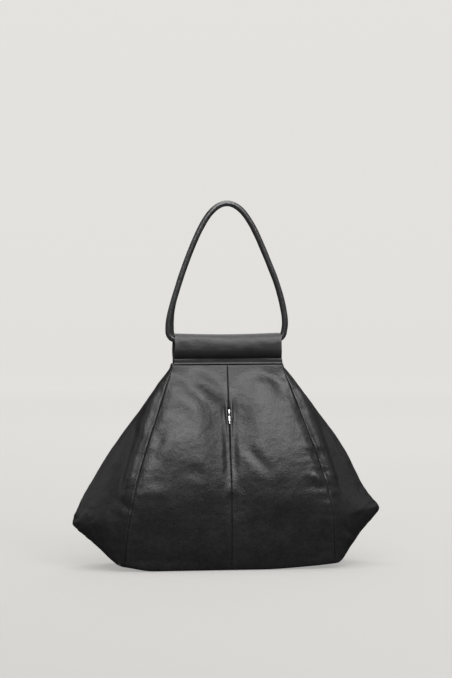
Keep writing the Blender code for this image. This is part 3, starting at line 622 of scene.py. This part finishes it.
# Creases of the front: (x, z) places, depth, width. A negative depth stands out.
FRONT_FOLDS = (
    (((-0.092, 0.331), (-0.056, 0.293), (-0.024, 0.258)), 0.0030, 0.014),
    (((-0.060, 0.332), (-0.033, 0.304), (-0.010, 0.276)), -0.0012, 0.012),
    (((0.024, 0.203), (0.041, 0.182), (0.061, 0.159)), 0.0018, 0.009),
    (((-0.108, 0.232), (-0.119, 0.204), (-0.131, 0.176)), 0.0019, 0.009),
    (((0.058, 0.332), (0.079, 0.313), (0.093, 0.288)), 0.0026, 0.012),
    (((-0.146, 0.134), (-0.122, 0.128), (-0.098, 0.132)), -0.0010, 0.010),
    (((0.130, 0.154), (0.146, 0.144), (0.162, 0.138)), -0.0022, 0.008),
    (((-0.076, 0.168), (-0.058, 0.160), (-0.040, 0.152)), 0.0009, 0.010),
    (((0.070, 0.140), (0.092, 0.134), (0.116, 0.136)), 0.0004, 0.010),
    (((-0.186, 0.118), (-0.172, 0.108), (-0.160, 0.100)), 0.0014, 0.007),
    (((-0.160, 0.236), (-0.152, 0.222), (-0.146, 0.206)), 0.0014, 0.009),
    (((0.182, 0.078), (0.192, 0.062), (0.204, 0.056)), 0.0014, 0.006),
    (((0.188, 0.052), (0.200, 0.044), (0.210, 0.044)), -0.0012, 0.006),
    (((0.214, 0.082), (0.228, 0.092), (0.240, 0.098)), 0.0010, 0.006),
)


# How much lower the belly hangs toward the front seams: at the right, and what the left adds
BELLY_DROP = 0.012
LEFT_BELLY_DROP = 0.010
LEFT_BELLY_RISE = 0.013
BELLY_HALF_WIDTH = 0.14
# The zip's stiff middle, and the slider's way in it, which stays on the CAD's surface
MIDDLE_X = 0.003, 0.060
SLIDER_WAY_FOOT = 0.118, 0.138
SLIDER_WAY_HALF = 0.016
SLIDER_WAY_FADE = 0.0125


def belly(points):
    """How far the walls stand out, with their middle less than their sides."""
    x, z = points[:, 0], points[:, 2]
    left = step(-x, 0.01, 0.06)
    lower = (BELLY_DROP + LEFT_BELLY_DROP * left) * (x / BELLY_HALF_WIDTH) ** 2
    lower = lower - LEFT_BELLY_RISE * left * step(z, 0, 0.05)
    out = curve(BELLY, np.clip(z + lower, 0, MOUTH_Z))
    way = step(z, *SLIDER_WAY_FOOT) * step(SLIDER_WAY_HALF - np.abs(x), 0, SLIDER_WAY_FADE)
    middle = curve(MIDDLE, z) * (1 - way)
    return middle + (out - middle) * step(np.abs(x), *MIDDLE_X)


def from_corner(points):
    """How far each point is from the nearest of the base's four corners."""
    x, y = np.abs(points[:, 0]) - FOOT_X, np.abs(points[:, 1]) - BASE_DEPTH / 2
    return np.sqrt(x**2 + y**2 + points[:, 2] ** 2)


# The base's ends: how far each lifts, and how far out the lift starts
RIGHT_LIFT, RIGHT_LIFT_X = 0.0062, 0.05
LEFT_LIFT, LEFT_LIFT_X = 0.0060, 0.125
LIFT_HEIGHT = 0.03


def raised(points):
    """How far the base's two ends are off the floor."""
    right, left = step(points[:, 0], RIGHT_LIFT_X, FOOT_X), step(-points[:, 0], LEFT_LIFT_X, FOOT_X)
    return (RIGHT_LIFT * right + LEFT_LIFT * left) * hill(points[:, 2], LIFT_HEIGHT)


# Puckers: how many to a metre of seam and away from it, and how far they reach
PUCKERS_ALONG = 95
PUCKERS_AWAY = 22
PUCKER_REACH = 0.013


def pucker(along, distance, seed, strength):
    """Short creases square to a seam, which fade away from it."""
    places = np.stack([along * PUCKERS_ALONG, distance * PUCKERS_AWAY, np.full(len(along), seed)], axis=1)
    wave = waves(places, 1.0, seed)
    return strength * wave * np.exp(-distance / PUCKER_REACH) * step(distance, 0.0005, 0.004)


# How far the cloth is smoothed, over what width: at its foot, the ends' edges, the ridges, the tips, the
# base's corners and the front and back seams
ROUNDING = (0.0045, 0.016), (0.0065, 0.020), (0.0018, 0.010), (0.010, 0.036), (0.011, 0.042), (0.0015, 0.006)
# Unevenness: height, waves a metre, seed
UNEVEN = (0.0009, 15, 1), (0.00022, 45, 2), (0.00008, 130, 3)
# The strip that each front seam's allowances hold forward
STRIP_OUT = 0.0060
STRIP_AT = 0.016
STRIP_WIDTH = 0.011
# Every seam's furrow, and its two allowances beside it
SEAM_DEPTH = 0.0012
SEAM_WIDTH = 0.0005
ALLOWANCE_OUT = 0.00018
ALLOWANCE_AT = 0.0027
ALLOWANCE_WIDTH = 0.0013
MOUTH_TUCK = 0.0010
# The zip's lips and the hollows outside them, and how much more of each there is by the slider
LIP_RISE, LIP_RISE_MORE = 0.0006, 0.0007
HOLLOW_DEPTH, HOLLOW_DEPTH_MORE = 0.0004, 0.0006
LIP_WIDER = 0.0012


def shape_body():
    """The soft body: rounded at its folds, drawn in at its seams, creased, and a little uneven."""
    points, quads, panels = weave()
    touch = np.zeros(len(points), np.int64)
    for corner in range(4):
        np.bitwise_or.at(touch, quads[:, corner], 1 << panels)

    def met(*names):
        return sum(1 << PANELS.index(name) for name in names)

    def between(*couples):
        """Points on the seam between two panels of any of these couples."""
        return np.any([(touch & met(*couple)) == met(*couple) for couple in couples], axis=0)

    sides = [(f"front_{hand}_side_panel", f"back_{hand}_side_panel") for hand in HANDS]
    front_seams = [(f"front_{hand}_panel", f"front_{hand}_side_panel") for hand in HANDS]
    back_seams = [("back_panel", f"back_{hand}_side_panel") for hand in HANDS]
    centre_seam = [("front_left_panel", "front_right_panel")]
    foot = [("base_panel", name) for name in PANELS[:-1]]
    ends = [(f"base_{hand}_end", f"{face}_{hand}_side_panel") for hand in HANDS for face in ("front", "back")]
    to_ridge = reach(points, between(*sides))
    to_front_seam = reach(points, between(*front_seams))
    to_back_seam = reach(points, between(*back_seams))
    to_centre = reach(points, between(*centre_seam))
    to_foot = reach(points, between(*foot))
    to_end = reach(points, between(*ends))
    tips = np.array([(RIGHT_RIDGE[0][1], 0, TIP_Z), (-LEFT_RIDGE[0][1], 0, TIP_Z)])
    to_tip = np.min(np.linalg.norm(points[:, None] - tips[None], axis=2), axis=1)
    to_corner = from_corner(points)

    # The left tip hangs lower than the right one, and the base's two ends lift a little
    out = step(np.abs(points[:, 0]), 0.15, TIP_X)
    lean = out * hill(points[:, 2] - TIP_Z, 0.06) * step(points[:, 2], 0, 0.05)
    points[:, 2] += np.where(points[:, 0] > 0, RIGHT_TIP_RISE, -LEFT_TIP_DROP) * lean
    points[:, 2] += raised(points)

    to_seam = np.minimum(to_front_seam, to_back_seam)
    reaches = to_foot, to_end, to_ridge, to_tip, to_corner, to_seam
    spread = np.max([most * hill(far, width) for (most, width), far in zip(ROUNDING, reaches)], axis=0)
    points = relaxed(points, quads, spread * step(MOUTH_Z - points[:, 2], 0.0, 0.010))

    z = points[:, 2]
    front = points[:, 1] < 0
    right = points[:, 0] > 0
    free = step(MOUTH_Z - z, 0.003, 0.036) * step(z, 0.001, 0.02)
    relief = sum(height * waves(points, scale, seed) for height, scale, seed in UNEVEN)
    strength = np.where(right, 0.0008 + 0.0008 * hill(z - 0.165, 0.05), 0.0006)
    relief += pucker(z, to_front_seam, 4, strength)
    relief += pucker(z, to_back_seam, 5, 0.0007)
    relief += pucker(z, to_ridge, 6, 0.0007)
    relief += pucker(points[:, 0] + points[:, 1], to_foot, 7, 0.0004)
    relief += 0.0010 * waves(points, 90, 8) * hill(to_tip, 0.05)
    relief += np.where(front, along_folds(points, FRONT_FOLDS), 0)
    # The strip lies in each side panel, beside its front seam
    seam_x = np.where(right, curve(RIGHT_SEAM, z), curve(LEFT_SEAM, z))
    outside = front & (np.abs(points[:, 0]) > seam_x)
    strip = hill(to_front_seam - STRIP_AT, STRIP_WIDTH) * outside
    strip = strip * step(z, 0.10, 0.16) * step(to_ridge, 0.002, 0.018)
    relief += STRIP_OUT * strip * step(MOUTH_Z - z, 0.0, 0.05)
    full = step(seam_x + 0.030 - np.abs(points[:, 0]), 0, 0.045) * step(to_ridge, 0.001, 0.020)
    relief = (relief + belly(points) * full) * free

    zipped = front * step(z, 0.172, 0.236) * step(0.282 - z, 0, 0.026)
    near = step(z, 0.236, 0.252)
    x = np.abs(points[:, 0]) - LIP_WIDER * near
    lip = step(x, 0.0004, 0.0016) * (1 - step(x, 0.0036, 0.0062))
    hollow = step(x, 0.0038, 0.0066) * (1 - step(x, 0.0066, 0.0150))
    risen = (LIP_RISE + LIP_RISE_MORE * near) * lip
    relief += zipped * (risen - (HOLLOW_DEPTH + HOLLOW_DEPTH_MORE * near) * hollow)

    # Every seam is drawn in, with its two allowances raised beside it
    seam = np.min([to_front_seam, to_back_seam, to_centre, to_ridge, to_end, to_foot], axis=0)
    depth = SEAM_DEPTH * step(MOUTH_Z - z, 0.0, 0.010)
    shallow = np.where(np.minimum(to_ridge, np.minimum(to_end, to_foot)) < 0.01, 0.6, 1.0)
    relief -= depth * shallow * np.exp(-seam / SEAM_WIDTH)
    relief += ALLOWANCE_OUT * hill(seam - ALLOWANCE_AT, ALLOWANCE_WIDTH) * free * (1 - zipped)

    # Under the cuff the mouth's edge turns in
    relief -= MOUTH_TUCK * step(z, MOUTH_Z - 0.004, MOUTH_Z)
    points = points + normals(points, quads) * relief[:, None]
    points[:, 2] = np.maximum(points[:, 2], 0.0)
    wear = 0.9 * hill(to_ridge, 0.004) + 0.9 * hill(to_tip, 0.02) + 0.8 * hill(to_foot, 0.005)
    wear += 0.25 * hill(seam - 0.0035, 0.003)
    return points, quads, panels, wear * (0.6 + 0.4 * waves(points, 60, 9))


def make_body():
    points, quads, panels, wear = shape_body()
    for k, name in enumerate(PANELS):
        faces = quads[panels == k]
        used, local = np.unique(faces, return_inverse=True)
        corners = [list(dict.fromkeys(face)) for face in local.reshape(faces.shape).tolist()]
        piece = from_faces(f"{name}_leather", points[used], corners)
        if name in ("front_left_panel", "front_right_panel"):
            part_slit(piece, -1 if "left" in name else 1)
        mark_wear_and_painted_shade(piece, wear[used])
        modify(piece, "SOLIDIFY", thickness=LEATHER, offset=-1, use_even_offset=False)
        hand_in(piece, BODY_LEATHER, "bag_body", "body_leather", name)


SLIT_LEAST = 0.0002
SLIT_REACH = 0.004


def part_slit(piece, side):
    """The two front panels stand apart along the zip, widest at the slider."""
    points = positions(piece)
    z = points[:, 2]
    ends = step(z, SLIT_FOOT_Z, SLIT_FOOT_Z + 0.02) * step(SLIT_HEAD_Z - z, 0.0, 0.002)
    width = SLIT_LEAST + (SLIT_HALF_WIDTH - SLIT_LEAST) * step(z, 0.232, 0.250)
    points[:, 0] += side * width * ends * np.exp(-np.abs(points[:, 0]) / SLIT_REACH)
    lay(piece, points)


# Cuffs


def bezier(start, leave, arrive, end, count):
    t = np.linspace(0, 1, count)[:, None]
    start, leave, arrive, end = map(np.array, (start, leave, arrive, end))
    return (1 - t) ** 3 * start + 3 * t * (1 - t) ** 2 * leave + 3 * t * t * (1 - t) * arrive + t**3 * end


def run(line):
    """How far along a line each of its points lies."""
    return np.concatenate([[0], np.cumsum(np.linalg.norm(np.diff(line, axis=0), axis=1))])


def cuff_line():
    """The folded strip's outer line, as (out, up): up inside the mouth, over, and down outside."""
    turn = np.linspace(math.pi, math.pi / 2, 13)
    inner = np.array((CHANNEL_OUT, CHANNEL_Z)) + FOLD_RADIUS * np.stack([np.cos(turn), np.sin(turn)], axis=1)
    widest = np.array((CHANNEL_OUT + FOLD_RADIUS + 0.0002, 0.3600))
    over = bezier(inner[-1], inner[-1] + (0.0050, 0), widest + (0, 0.0140), widest, 26)[1:]
    band = np.array((BAND_OUT, BAND_TOP_Z))
    fall = bezier(widest, widest - (0.0002, 0.0075), band + (0.0046, 0.0024), band, 22)[1:]
    down = np.stack([np.full(13, BAND_OUT), np.linspace(BAND_TOP_Z, MOUTH_Z, 14)[1:]], axis=1)
    inside = np.stack([np.full(14, MOUTH_GAP), np.linspace(MOUTH_Z, CHANNEL_Z, 15)[:-1]], axis=1)
    return np.vstack([inside, inner, over, fall, down])


# A cuff: shorter than its solid, wider toward its foot and more so at the right, and sagging at its middle
CUFF_TRIM = 0.0006
CUFF_FLARE = 0.0016
CUFF_RIGHT_FLARE = 0.0020
CUFF_SHIFT = 0.0005
CUFF_SAG = 0.0021
CREASE_DEPTH = 0.0009
CREASE_Z = BAND_TOP_Z - 0.0006
LIP_OUT = 0.0008
LIP_DROP = 0.0010
STITCH_SPACING = 0.0034
STITCH_LENGTH = 0.0026
STITCH_RADIUS = 0.00034


def make_cuff(side, sign):
    """One cuff. sign is -1 at the front, where out is -Y."""
    line = cuff_line()
    gone = run(line)

    def place(u, v):
        spot = (v if sign < 0 else 1 - v) * gone[-1]
        out = np.interp(spot, gone, line[:, 0])
        up = np.interp(spot, gone, line[:, 1])
        length = CUFF_LENGTH - CUFF_TRIM + CUFF_FLARE * step(CUFF_TOP_Z - up, 0.01, 0.045)
        x = (u - 0.5) * length + CUFF_SHIFT
        x = x + CUFF_RIGHT_FLARE * step(u, 0.7, 1) * step(CUFF_TOP_Z - up, 0.030, 0.048)
        outer = step(out, CHANNEL_OUT - 0.004, CHANNEL_OUT) * step(spot, 0.05, 0.06)
        outside = spot > gone[-1] - 0.046
        up = up - CUFF_SAG * np.cos(np.pi * (u - 0.5)) * step(up, BAND_TOP_Z, CUFF_TOP_Z)
        spots = np.stack([x, out, up], axis=1)
        out = out + (0.0007 * waves(spots, (14, 0, 30), 21) + 0.00025 * waves(spots, 70, 22)) * outer
        # The stitched crease is pulled tight at its two ends and lies slacker between them
        tight = 0.15 + 0.85 * step(np.abs(x), 0.050, 0.080)
        crease = hill(up - CREASE_Z, 0.0012) * outside * tight
        lip = hill(up - MOUTH_Z, 0.0014) * outside
        out = out - CREASE_DEPTH * crease + LIP_OUT * lip
        up = up - LIP_DROP * step(MOUTH_Z + 0.006 - up, 0, 0.006) * outside
        return np.stack([x, sign * out, up], axis=1)

    cuff = sheet(f"{side}_cuff_leather", 150, 120, place)
    points = positions(cuff)
    worn = 0.5 * hill(points[:, 2] - CUFF_TOP_Z, 0.004) + 0.4 * hill(points[:, 2] - MOUTH_Z, 0.002)
    mark_wear_and_painted_shade(cuff, worn + 0.5 * (np.abs(points[:, 0]) > CUFF_LENGTH / 2 - 0.004))
    modify(cuff, "SOLIDIFY", thickness=LEATHER, offset=-1, use_even_offset=True)
    modify(cuff, "BEVEL", width=0.0004, segments=2, limit_method="ANGLE", angle_limit=math.radians(50))
    # The cuff takes the lighter leather, whose painted fill light lifts its shaded fall.
    hand_in(cuff, CUFF_LEATHER_PAINTED_FILL, f"{side}_cuff", "cuff_leather", f"{side}_cuff")

    count = int((CUFF_LENGTH - 0.006) / STITCH_SPACING)
    out = sign * (BAND_OUT - 0.0004)
    row = [((k - (count - 1) / 2) * STITCH_SPACING, out, CREASE_Z) for k in range(count)]
    seam = stitches(f"{side}_cuff_stitches", row, (0, sign, 0))
    hand_in(seam, THREAD, f"{side}_cuff", "cuff_leather")


def stitches(name, places, outward):
    """One stitch, arched from hole to hole, and copies of it along a row."""
    shape = bmesh.new()
    rings = []
    for t in np.linspace(-1, 1, 7):
        arch = (1 - t * t) * 0.0005 - 0.0002
        swell = STITCH_RADIUS * (0.55 + 0.45 * math.sqrt(max(0.0, 1 - t * t)))
        ring = []
        for k in range(6):
            angle = k * math.pi / 3
            spot = t * STITCH_LENGTH / 2, swell * math.cos(angle), arch + swell * math.sin(angle)
            ring.append(shape.verts.new(spot))
        rings.append(ring)
    for near, far in zip(rings, rings[1:]):
        for k in range(6):
            j = (k + 1) % 6
            shape.faces.new((near[k], far[k], far[j], near[j]))
    shape.faces.new(rings[0])
    shape.faces.new(reversed(rings[-1]))
    bmesh.ops.recalc_face_normals(shape, faces=shape.faces)
    shape.verts.index_update()
    points = np.array([vert.co for vert in shape.verts])
    faces = [[vert.index for vert in face.verts] for face in shape.faces]
    shape.free()
    outward = np.array(outward)
    aside = np.cross(outward, (1, 0, 0))
    all_points, all_faces = [], []
    for spot in places:
        start = sum(map(len, all_points))
        turned = points[:, :1] * (1, 0, 0) + points[:, 1:2] * aside + points[:, 2:] * outward
        all_points.append(turned + np.array(spot))
        all_faces += [[start + k for k in face] for face in faces]
    piece = from_faces(name, np.vstack(all_points), all_faces)
    return edit(piece, lambda: bpy.ops.mesh.normals_make_consistent(inside=False))


# Handles


def handle_route():
    """A handle's centreline, as (across, up) from its channel's axis, from the left end to the right."""
    bend, strand = 0.011, 0.096
    turn = np.linspace(0, math.pi / 2, 14)
    corner = np.stack([strand - bend + bend * np.sin(turn), bend - bend * np.cos(turn)], axis=1)
    inside = np.stack([np.linspace(0.00015, strand - bend, 30)[:-1], np.zeros(29)], axis=1)
    tilt = math.radians(26)
    along = np.array((-math.sin(tilt), math.cos(tilt)))
    foot, shoulder, apex = np.array((strand, 0.022)), np.array((0.0474, 0.1759)), np.array((0, HANDLE_RISE))
    rise = bezier(foot, foot + (0, 0.032), shoulder - along * 0.042, shoulder, 60)
    top = bezier(shoulder, shoulder + along * 0.022, apex + (0.022, 0), apex, 40)
    right = np.vstack([inside, corner, rise, top[1:]])
    return np.vstack([right, (right * (-1, 1))[-2::-1]])


HANDLE_GAP = 0.00015
HANDLE_TRIM = 0.0001
HANDLE_LUMPS = 0.00012
HANDLE_SEAM = 0.0005
CORE_PLIES = 3
CORE_TWIST = 900
CORE_GROOVE = 0.0002
TANGENT_REACH = 0.001
HANDLE_WELD = 0.00002
# How much farther left or right than the route the strands stand, and how much more the back handle's do
STRAND_SHIFT = 0.0020
BACK_SHIFT = 0.0028
BACK_FOOT_SHIFT = 0.0042


def make_handle(side, sign):
    """One rolled leather handle with its cord core. Its seam runs along the inside of the loop."""
    route = handle_route()
    gone = run(route)
    lean = math.atan((CHANNEL_OUT - HANDLE_RADIUS - HANDLE_GAP) / HANDLE_RISE)

    def at(spot):
        return np.stack([np.interp(spot, gone, route[:, k]) for k in (0, 1)], axis=1)

    def place(u, v, core=False):
        spot = u * gone[-1]
        across, up = at(spot).T
        tangent = at(spot + TANGENT_REACH) - at(spot - TANGENT_REACH)
        tangent /= np.linalg.norm(tangent, axis=1)[:, None]
        aside = np.stack([tangent[:, 1], -tangent[:, 0]], axis=1)
        angle = v * 2 * np.pi
        places = np.stack([spot * 60, np.cos(angle), np.sin(angle)], axis=1)
        radius = HANDLE_RADIUS - HANDLE_TRIM + HANDLE_LUMPS * waves(places, (1, 0.8, 0.8), 31)
        radius = radius - HANDLE_SEAM * hill(np.minimum(v, 1 - v) * 2 * np.pi, 0.11)
        if core:
            radius = CORE_RADIUS + CORE_GROOVE * np.sin(CORE_PLIES * angle + spot * CORE_TWIST)
        low_left = hill(up - 0.018, 0.034) * step(up, -0.004, 0.016) * step(-across, 0.05, 0.09)
        high_right = hill(up - 0.082, 0.045) - 1.2 * hill(up - 0.004, 0.014)
        across = across - STRAND_SHIFT * low_left + STRAND_SHIFT * high_right * step(across, 0.04, 0.08)
        if side == "back":
            # Seen from the front's left, both loops lie in line but for the left strand's foot
            foot = step(up, 0.001, 0.009)
            across = across + BACK_SHIFT * foot * (1 - 2.4 * up)
            across = across + BACK_FOOT_SHIFT * foot * step(0.066 - up, 0, 0.050) * step(-across, 0.05, 0.08)
        x = across - aside[:, 0] * np.cos(angle) * radius
        high = up - aside[:, 1] * np.cos(angle) * radius
        deep = np.sin(angle) * radius
        y = sign * CHANNEL_OUT - sign * high * math.sin(lean) + deep * math.cos(lean)
        z = CHANNEL_Z + high * math.cos(lean) + sign * deep * math.sin(lean)
        return np.stack([x, y, z], axis=1)

    cord = sheet(f"{side}_handle_cord", 900, 24, lambda u, v: place(u, v, core=True))
    closed(cord, HANDLE_WELD)
    hand_in(cord, CORD, f"{side}_handle", "cord", f"{side}_handle_core")
    handle = closed(sheet(f"{side}_handle_leather", 560, 28, place), HANDLE_WELD)
    mark_wear_and_painted_shade(handle, 0.5 + 0.5 * waves(positions(handle), 40, 33))
    hand_in(handle, HANDLE_LEATHER, f"{side}_handle", "handle_leather", f"{side}_handle_sleeve")


# Cloth inside


def copied(node, name):
    """A node's solid as a piece of its own, its faces joined."""
    only(NODES[node])
    bpy.ops.object.duplicate()
    copy = bpy.context.object
    copy.name = copy.data.name = name
    copy.parent = None
    for key in list(copy.keys()):
        del copy[key]
    return edit(
        copy,
        lambda: bpy.ops.mesh.remove_doubles(threshold=0.00001),
        lambda: bpy.ops.mesh.tris_convert_to_quads(),
    )


# What is copied and gives way inside the leather: slot, finish, and how far it sways
SOFT_NODES = {
    "lining": ("cloth", LINING_CLOTH, 0.0006),
    "pocket_front_cloth": ("cloth", LINING_CLOTH, 0.0001),
    "pocket_back_cloth": ("cloth", LINING_CLOTH, 0.0001),
    "base_board": ("board", BOARD, 0),
    "zip_left_tape": ("cloth", TAPE_CLOTH, 0),
    "zip_right_tape": ("cloth", TAPE_CLOTH, 0),
}
CORNER_WAY = -0.005, -0.006, 0.003
CORNER_REACH = 0.045


def soften(node, slot, finish, sway):
    """A soft node's copy, which hangs a little uneven and gives way where the leather draws in."""
    copy = copied(node, f"{node}_sewn")
    modify(copy, "SUBSURF", subdivision_type="SIMPLE", levels=2, render_levels=2)
    points = positions(copy)
    for k in range(3):
        points[:, k] += sway * waves(points, 26, 41 + k) * step(points[:, 2], 0.003, 0.02)
    drawn_in = np.minimum(belly(points), 0) * step(np.abs(points[:, 1]), 0.020, 0.050)
    points[:, 1] += np.sign(points[:, 1]) * drawn_in
    points[:, 2] += raised(points)
    # The corners round off inside the leather's
    points += hill(from_corner(points), CORNER_REACH)[:, None] * (np.sign(points) * CORNER_WAY)
    lay(copy, points)
    hand_in(copy, finish, "bag_body", slot, node)


# The zip's slider and pull, at rest: where the slider's middle is, and which way is up the zip and out of it
SLIDER_AT = np.array((0, -0.031068, 0.257))
ZIP_UP = np.array((0, 0.280295, 0.959914))
ZIP_OUT = np.array((0, -0.959914, 0.280295))
PIN_UP = -0.0036
PIN_OUT = 0.0014
CROWN_OUT = 0.0006
CROWN_HALF_WIDTH = 0.0015
BEAD_OUT = 0.0012


def make_slider():
    """The slider's own solid with its edges broken, with painted shade in its fork and under its crown."""
    slider = copied("zip_slider", "zip_slider_silver")
    modify(slider, "BEVEL", width=0.00022, segments=2, limit_method="ANGLE", angle_limit=math.radians(40))
    modify(slider, "SUBSURF", subdivision_type="SIMPLE", levels=3, render_levels=3)
    away = positions(slider) - SLIDER_AT
    up, out = away @ ZIP_UP, away @ ZIP_OUT
    # Painted shade: the fork's slot and everything under the crown are marked to be coloured near black.
    slot = step(-up, 0.0042, 0.0044) * step(0.0009 - np.abs(away[:, 0]), 0, 0.0001)
    mark_wear_and_painted_shade(slider, np.maximum(slot, step(0.0008 - out, 0, 0.0006)))
    # The crown is domed from side to side and at its two ends
    beside = np.clip(np.abs(away[:, 0]) / CROWN_HALF_WIDTH, 0, 1)
    dome = 1 - 0.30 * beside**2 - 0.12 * step(np.abs(up), 0.0038, 0.0045)
    sunk = np.where(out > CROWN_OUT, (out - CROWN_OUT) * (dome - 1), 0)
    lay(slider, positions(slider) + sunk[:, None] * ZIP_OUT)
    hand_in(slider, SILVER, "zip_slider", "silver", "zip_slider", degrees=40)


# The pull: millimetres down from the pin, half the width and half the thickness, and the painted shade, full
# in its tongue and neck and light at the bead's tip
PULL_PROFILE = (
    (-1.08, 0.12, 0.10, 0),
    (-1.00, 0.35, 0.40, 0),
    (-0.60, 0.48, 0.85, 0),
    (0.00, 0.50, 1.05, 0),
    (0.60, 0.50, 0.85, 1),
    (1.30, 0.50, 0.50, 1),
    (2.10, 0.50, 0.46, 1),
    (2.40, 1.10, 0.48, 1),
    (2.80, 1.35, 0.50, 0),
    (6.50, 1.30, 0.50, 0),
    (11.50, 1.18, 0.50, 0),
    (12.00, 1.10, 0.50, 0),
    (12.15, 0.42, 0.40, 1),
    (12.90, 0.36, 0.36, 1),
    (13.70, 0.40, 0.40, 1),
    (13.85, 0.80, 0.46, 1),
    (14.10, 1.25, 0.56, 0),
    (15.30, 1.25, 0.56, 0),
    (15.60, 0.80, 0.46, 0.2),
    (15.72, 0.30, 0.30, 0.4),
    (15.76, 0.05, 0.05, 0.4),
)


def make_pull():
    """The pull: an eye on the slider's pin, a tongue, a flat bar that narrows, a neck and a bead."""
    profile = np.array(PULL_PROFILE) / (1000, 1000, 1000, 1)
    rows = np.arange(len(profile))

    def place(u, v):
        down, wide, thick = (np.interp(u * rows[-1], rows, profile[:, k]) for k in range(3))
        turn = v * 2 * np.pi
        # A bar's section is a rounded oblong, a bead's is round
        square = np.clip((wide - thick) / 0.0004, 0, 1) * 0.45
        c, s = np.cos(turn), np.sin(turn)
        x = wide * np.sign(c) * np.abs(c) ** (1 - square)
        out = thick * np.sign(s) * np.abs(s) ** (1 - square)
        out = out + BEAD_OUT * step(down, 0.0120, 0.0141)
        middle = SLIDER_AT + ZIP_UP * PIN_UP + ZIP_OUT * PIN_OUT
        return middle - down[:, None] * ZIP_UP + out[:, None] * ZIP_OUT + x[:, None] * (1, 0, 0)

    pull = closed(sheet("zip_pull_silver", 4 * len(profile), 32, place), 0.000004)
    down = PIN_UP - (positions(pull) - SLIDER_AT) @ ZIP_UP
    # Painted shade: the profile's last column colours the tongue and the neck near black.
    mark_wear_and_painted_shade(pull, np.interp(down, profile[:, 0], profile[:, 3]))
    hand_in(pull, SILVER, "zip_pull", "silver", "zip_pull", degrees=60)


# The studio


PAPER = 0.160, 0.158, 0.154
GLOW_NEAR = 0.250, 0.247, 0.240
GLOW_FAR = 0.657, 0.649, 0.631
GLOW_MIDDLE = -0.4, -1.6, 0
GLOW_REACH = 5.8
FLOOR_DROP = 0.0002


def make_stage():
    """A pale round cove, with the bag at its middle."""

    def place(u, v):
        turn = u * 2 * np.pi
        flat, bend, rise = 6.0, 1.5, 7.0
        curve_length = bend * np.pi / 2
        spot = v * (flat + curve_length + rise)
        angle = np.clip((spot - flat) / bend, 0, np.pi / 2)
        radius = np.minimum(spot, flat) + bend * np.sin(angle)
        height = bend * (1 - np.cos(angle)) + np.clip(spot - flat - curve_length, 0, None)
        return np.stack([radius * np.cos(turn), radius * np.sin(turn), height - FLOOR_DROP], axis=1)

    cove = sheet("pale_cove", 96, 60, place)
    edit(
        cove,
        lambda: bpy.ops.mesh.remove_doubles(threshold=0.0001),
        lambda: bpy.ops.mesh.normals_make_consistent(inside=True),
    )
    smooth(cove, 60)
    finish = Finish("pale_paper", specular=0.0)
    spots = {0: finish.place(), 1: GLOW_MIDDLE}
    far = finish.node("ShaderNodeVectorMath", {"operation": "DISTANCE"}, spots, "Value")
    glow = finish.node("ShaderNodeMapRange", None, {0: far, 1: 0.0, 2: GLOW_REACH}, "Result")
    glow = finish.between(glow, GLOW_NEAR, GLOW_FAR)
    paper = finish.feed(Base_Color=(*PAPER, 1), Roughness=1.0, Emission_Color=glow, Emission_Strength=1.0)
    dress(cove, paper)
    cove.visible_glossy = False


# Each lamp's place, width, height and power
LAMPS = {
    "front_softbox": ((0.20, -2.26, 2.19), 3.4, 1.2, 128),
    "top_softbox": ((0.0, 0.1, 2.9), 2.6, 1.6, 80),
    "back_softbox": ((0.6, 2.6, 1.9), 2.4, 1.4, 26),
    "left_softbox": ((-2.9, 0.3, 1.5), 1.0, 1.4, 7),
    "right_softbox": ((2.9, 0.3, 1.5), 1.0, 1.4, 4),
}
LAMP_AIM = Vector((0, 0, 0.22))
AIR_COLOR = 0.95, 0.97, 1.0, 1
AIR_STRENGTH = 0.03


def area_light(name, place, width, height, power):
    bpy.ops.object.light_add(type="AREA", location=place)
    lamp = bpy.context.object
    lamp.name = lamp.data.name = name
    lamp.data.shape = "RECTANGLE"
    lamp.data.size, lamp.data.size_y = width, height
    lamp.data.energy = power
    lamp.visible_camera = False
    lamp.rotation_euler = (LAMP_AIM - Vector(place)).to_track_quat("-Z", "Y").to_euler()


def make_lights():
    for name, settings in LAMPS.items():
        area_light(name, *settings)
    world = bpy.data.worlds.new("studio_air")
    bpy.context.scene.world = world
    world.use_nodes = True
    air = world.node_tree.nodes["Background"]
    air.inputs["Color"].default_value = AIR_COLOR
    air.inputs["Strength"].default_value = AIR_STRENGTH


CAMERA_AZIMUTH = math.radians(-7.5)
CAMERA_ELEVATION = math.radians(3.0)
CAMERA_DISTANCE = 4.5
CAMERA_AIM = Vector((-0.001, 0, 0.376))
SENSOR_WIDTH = 36
PICTURE_HEIGHT = 678
METRES_A_PIXEL = 0.001650


def make_camera():
    """The photograph's view: a little from the left, and a little above."""
    level = Vector((math.sin(CAMERA_AZIMUTH), -math.cos(CAMERA_AZIMUTH), 0)) * math.cos(CAMERA_ELEVATION)
    back = level + Vector((0, 0, math.sin(CAMERA_ELEVATION)))
    bpy.ops.object.camera_add(location=CAMERA_AIM + back * CAMERA_DISTANCE)
    camera = bpy.context.object
    camera.rotation_euler = (-back).to_track_quat("-Z", "Y").to_euler()
    camera.data.sensor_width = SENSOR_WIDTH
    camera.data.lens = SENSOR_WIDTH * CAMERA_DISTANCE / (PICTURE_HEIGHT * METRES_A_PIXEL)
    bpy.context.scene.camera = camera


make_camera()
make_body()
for cuff_side, cuff_sign in (("front", -1), ("back", 1)):
    make_cuff(cuff_side, cuff_sign)
    make_handle(cuff_side, cuff_sign)
for soft_node, soft_look in SOFT_NODES.items():
    soften(soft_node, *soft_look)
make_slider()
make_pull()
for plain_finish, *plain_names in PLAIN_NODES:
    for plain_name in plain_names:
        dress(NODES[plain_name], plain_finish)
make_stage()
make_lights()
bpy.context.scene.view_settings.view_transform = "Standard"
